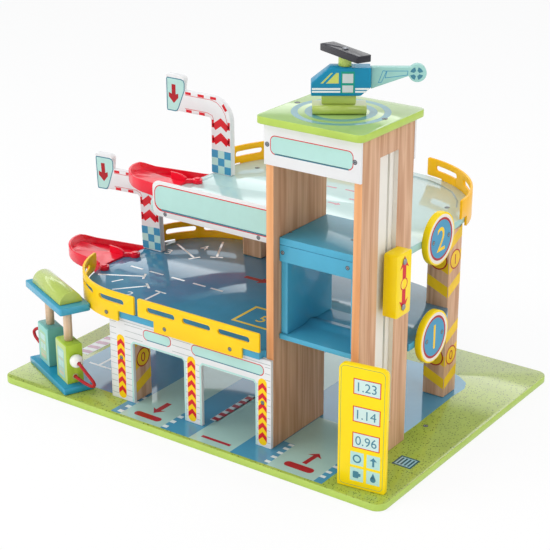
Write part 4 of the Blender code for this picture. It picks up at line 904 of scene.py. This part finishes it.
# Price sign. A tall yellow board printed with a frame line, three windows with plain
# figures and four plain pictograms.
rubbed("price_sign", 0.8, sun_yellow, "yellow_board")
turn = math.radians(7.8)
face = side_of((538.5, 16.0, 0.0), (math.cos(turn), math.sin(turn), 0), (0, 0, 1))
frame_line = line(round_rect(3.2, 58.6, 13.5, 167.5, 5.5), 0.8, True)
line_olive = lacquer("line_olive", (176, 182, 90))
window_mint = lacquer("window_mint", (206, 230, 224), mottle=0.03)
windows = (133.5, 98.0, 64.0)
squares = [(a, b) for a in (17, 38) for b in (20, 41)]
prints(face, "yellow_board",
       ("price_line", 1, line_olive, [frame_line]),
       ("price_windows", 1, print_red, [rect(19, 54, z, z + 20.5) for z in windows]),
       ("price_fields", 2, window_mint, [rect(20.2, 52.8, z + 1.2, z + 19.3) for z in windows]),
       ("price_figures", 3, print_teal, [number(t, 11.5, (36.5, z + 10.2)) for t, z in
                                         zip(("1.23", "1.14", "0.96"), windows)]),
       ("price_squares", 1, print_mint, [rect(a, a + 17, b, b + 17.5) for a, b in squares]),
       ("price_pictures", 2, print_teal,
        [(disc(25.5, 49.7, 5.5), disc(25.5, 49.7, 3.6)),
         arrow((46.5, 44), (46.5, 56), 2.6, 9, 5),
         round_rect(20.5, 28, 24, 33, 1.5), rect(28, 30.5, 26.5, 30.5),
         disc(46.5, 26.8, 3.6), np.array(((43.2, 28), (49.8, 28), (46.5, 35.5)))]))


# Lift car. Blue lacquered boards round a drive-through floor with a raised ripple,
# moved by a yellow handle block outside the slot; two steel bolts hold it.
lift_blue = lacquer("lift_blue", (74, 168, 200), coat=0.6)
for node in ("lift_floor_plate", "lift_roof_plate", "lift_lintel", "lift_left_cheek",
             "lift_right_cheek"):
    rubbed(node, 0.6, lift_blue, "lift_blue", "lift_car")
rubbed("lift_handle", 1.4, sun_yellow, "yellow_board", "lift_car")
for side in ("lower", "upper"):
    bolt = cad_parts["lift_bolt_" + side]
    bolt.data.materials.clear()
    bolt.data.materials.append(steel)
handle = side_of((566.0, 0.0, 0.0), (0, 1, 0), (0, 0, 1))
marks = [(disc(111.5, 241.5, 8), disc(111.5, 241.5, 6.4)),
         arrow((111.5, 249), (111.5, 277), 8, 20, 16, 3), arrow((111.5, 234), (111.5, 206), 8, 20, 16, 3)]
prints(handle, "yellow_board", ("handle_arrows", 1, print_red, marks), body="lift_car")
for k, at in enumerate(((431.3, 55.5, 268.4), (522.8, 55.5, 269.7))):
    screw("lintel_screw_%d" % k, at, (0, -1, 0), 2.3, 0.5, "lift_car")
for k, at in enumerate(((428.1, 76.8, 287.0), (502.1, 97.6, 287.0))):
    screw("lift_roof_screw_%d" % k, at, (0, 0, 1), 1.6, 0.4, "lift_car")


# Helicopter. Lacquered blocks glued in a stack: leaf skids and belly, teal cabin with
# panes, a door and stripes, mint tail, leaf mast and a dark rotor on a steel screw.
leaf_paint = lacquer("leaf_paint", (176, 196, 88), coat=1.0)
teal_paint = lacquer("teal_paint", (14, 136, 174))
mint_paint = lacquer("mint_paint", (160, 208, 200))
rotor_paint = lacquer("rotor_paint", (36, 34, 42), coat=0.5)
for node, width, finish, slot in (("helicopter_skids", 0.0, leaf_paint, "leaf_wood"),
                                  ("helicopter_belly", 0.8, leaf_paint, "leaf_wood"),
                                  ("helicopter_body", 1.2, teal_paint, "teal_wood"),
                                  ("helicopter_tail_boom", 0.8, mint_paint, "mint_wood"),
                                  ("helicopter_mast", 0.8, leaf_paint, "leaf_wood")):
    rubbed(node, width, finish, slot, "helicopter")
rubbed("helicopter_rotor", 1.0, rotor_paint, "dark_wood", "rotor")
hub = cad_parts["helicopter_rotor_screw"]
hub.data.materials.clear()
hub.data.materials.append(steel)
heading = math.radians(35.3)
c, s = math.cos(heading), math.sin(heading)
pane = [np.array(((-21.9, 475.3), (-19.2, 475.3), (-7.9, 487.5), (-9.9, 487.5)), float),
        np.array(((-15.6, 475.3), (-1.3, 475.3), (-1.3, 487.5), (-4.1, 487.5)), float)]
outlines = [np.array(((44, 474.8), (49, 488.6), (53, 488), (47.5, 475.3)), float),
            np.array(((53.5, 488.2), (77.2, 488.2), (76.7, 483.5), (51.5, 480.2)), float)]
blade_tips, blade_feet = disc(87.2, 485.2, 7.4, 72), disc(87.2, 485.2, 2.8, 72)
fan = [np.vstack((blade_tips[k + 3:k + 16], blade_feet[k + 3:k + 16][::-1])) for k in (0, 18, 36, 54)]
pane_leaf = lacquer("pane_leaf", (206, 212, 106))
door_green = lacquer("door_green", (24, 152, 132))
glass_grey = lacquer("glass_grey", (206, 212, 212))
for way, tag in ((1, "near"), (-1, "far")):
    cabin = side_of((480 + way * 11 * s, 98 - way * 11 * c, 0), (way * c, way * s, 0), (0, 0, 1))
    tail = side_of((480 + way * 5 * s, 98 - way * 5 * c, 0), (way * c, way * s, 0), (0, 0, 1))
    flip = np.array((way, 1.0))
    for label, on, layer, finish, shapes in (
            ("panes", cabin, 1, pane_leaf, pane),
            ("door", cabin, 1, door_green, [rect(1.2, 16.8, 463.6, 489.1)]),
            ("glass", cabin, 2, glass_grey, [rect(2.9, 15.1, 475.8, 486.5), rect(2.9, 15.1, 464.8, 473)]),
            ("stripes", cabin, 1, print_white, [rect(-31.6, 0.7, 467.8, 470),
                                                rect(-31.6, 0.7, 464.6, 466.6),
                                                rect(17.6, 33.4, 467.8, 470),
                                                rect(17.6, 29.9, 464.6, 466.6)]),
            ("tail_lines", tail, 1, print_blue, [line(o, 0.7, True) for o in outlines]),
            ("fan", tail, 1, print_teal, fan)):
        placed = [tuple(p * flip for p in o) if isinstance(o, tuple) else o * flip for o in shapes]
        prints(on, "teal_wood",
               ("helicopter_%s_%s" % (label, tag), layer, finish, placed), body="helicopter")


# Petrol island. Lacquered blocks: teal base and canopy, two pumps with pastel fields,
# two pine dowels, a half-round leaf roof piece and white balls that hold the hoses.
plate_blue = lacquer("plate_blue", (38, 152, 188), coat=0.6)
canopy_blue = lacquer("canopy_blue", (64, 162, 194), coat=0.6)
pump_leaf_end = lacquer("pump_leaf_end", (180, 210, 66))
pump_leaf = lacquer("pump_leaf", (194, 212, 134))
pump_mint_end = lacquer("pump_mint_end", (116, 184, 176))
pump_mint = lacquer("pump_mint", (150, 208, 198))
ball_white = lacquer("ball_white", (244, 242, 236), coat=0.7)
c, s = math.cos(ISLAND_TURN), math.sin(ISLAND_TURN)
for node, width, finish, slot in (("island_base", 0.9, plate_blue, "teal_wood"),
                                  ("island_canopy", 0.9, canopy_blue, "teal_wood"),
                                  ("island_canopy_top", 0.6, leaf_paint, "leaf_wood"),
                                  ("island_pump_near", 0.5, [pump_leaf_end, pump_leaf], "leaf_wood"),
                                  ("island_pump_far", 0.5, [pump_mint_end, pump_mint], "mint_wood"),
                                  ("island_dowel_near", 0.0, pale_pine, "natural_wood"),
                                  ("island_dowel_far", 0.0, pale_pine, "natural_wood")):
    rubbed(node, width, finish, slot, "petrol_island", faced=(s, -c, 0.0))
pastel_blue = lacquer("pastel_blue", (164, 206, 200))
pastel_leaf = lacquer("pastel_leaf", (168, 208, 168))
pastel_glass = lacquer("pastel_glass", (190, 220, 216))
pastel_pink = lacquer("pastel_pink", (208, 196, 168))
for side, u0, way, frame_tone in (("near", 14.1, 1, pastel_blue), ("far", -49.1, -1, pastel_leaf)):
    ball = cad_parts["nozzle_ball_" + side]
    ball.data.materials.clear()
    ball.data.materials.append(ball_white)
    for rear in (1, -1):
        corner = turned((u0 if rear > 0 else u0 + 35.0, -11.75 * rear, 9.6), ISLAND, ISLAND_TURN)
        pump = side_of(corner, (rear * c, rear * s, 0), (0, 0, 1))
        tag = "%s_%s" % (side, "front" if rear > 0 else "back")
        prints(pump, "mint_wood",
               ("pump_panel_" + tag, 1, frame_tone, [round_rect(5, 27, 5, 47, 3)]),
               ("pump_glass_" + tag, 2, pastel_glass,
                [rect(8, 24, 34, 43), rect(8, 15, 20, 29), rect(17, 24, 20, 29)]),
               ("pump_lines_" + tag, 2, pastel_pink, [rect(8, 24, 30.6, 32.2), rect(8, 24, 16, 17.6),
                                                      rect(8, 24, 8, 13)]), body="petrol_island")
    end = side_of(turned((way * 49.1, 0, 19.0), ISLAND, ISLAND_TURN), (-way * s, way * c, 0), (0, 0, 1))
    prints(end, "mint_wood", ("hose_rim_" + side, 1, pastel_pink, [(disc(0, 0, 4.0), disc(0, 0, 2.9))]),
           body="petrol_island")
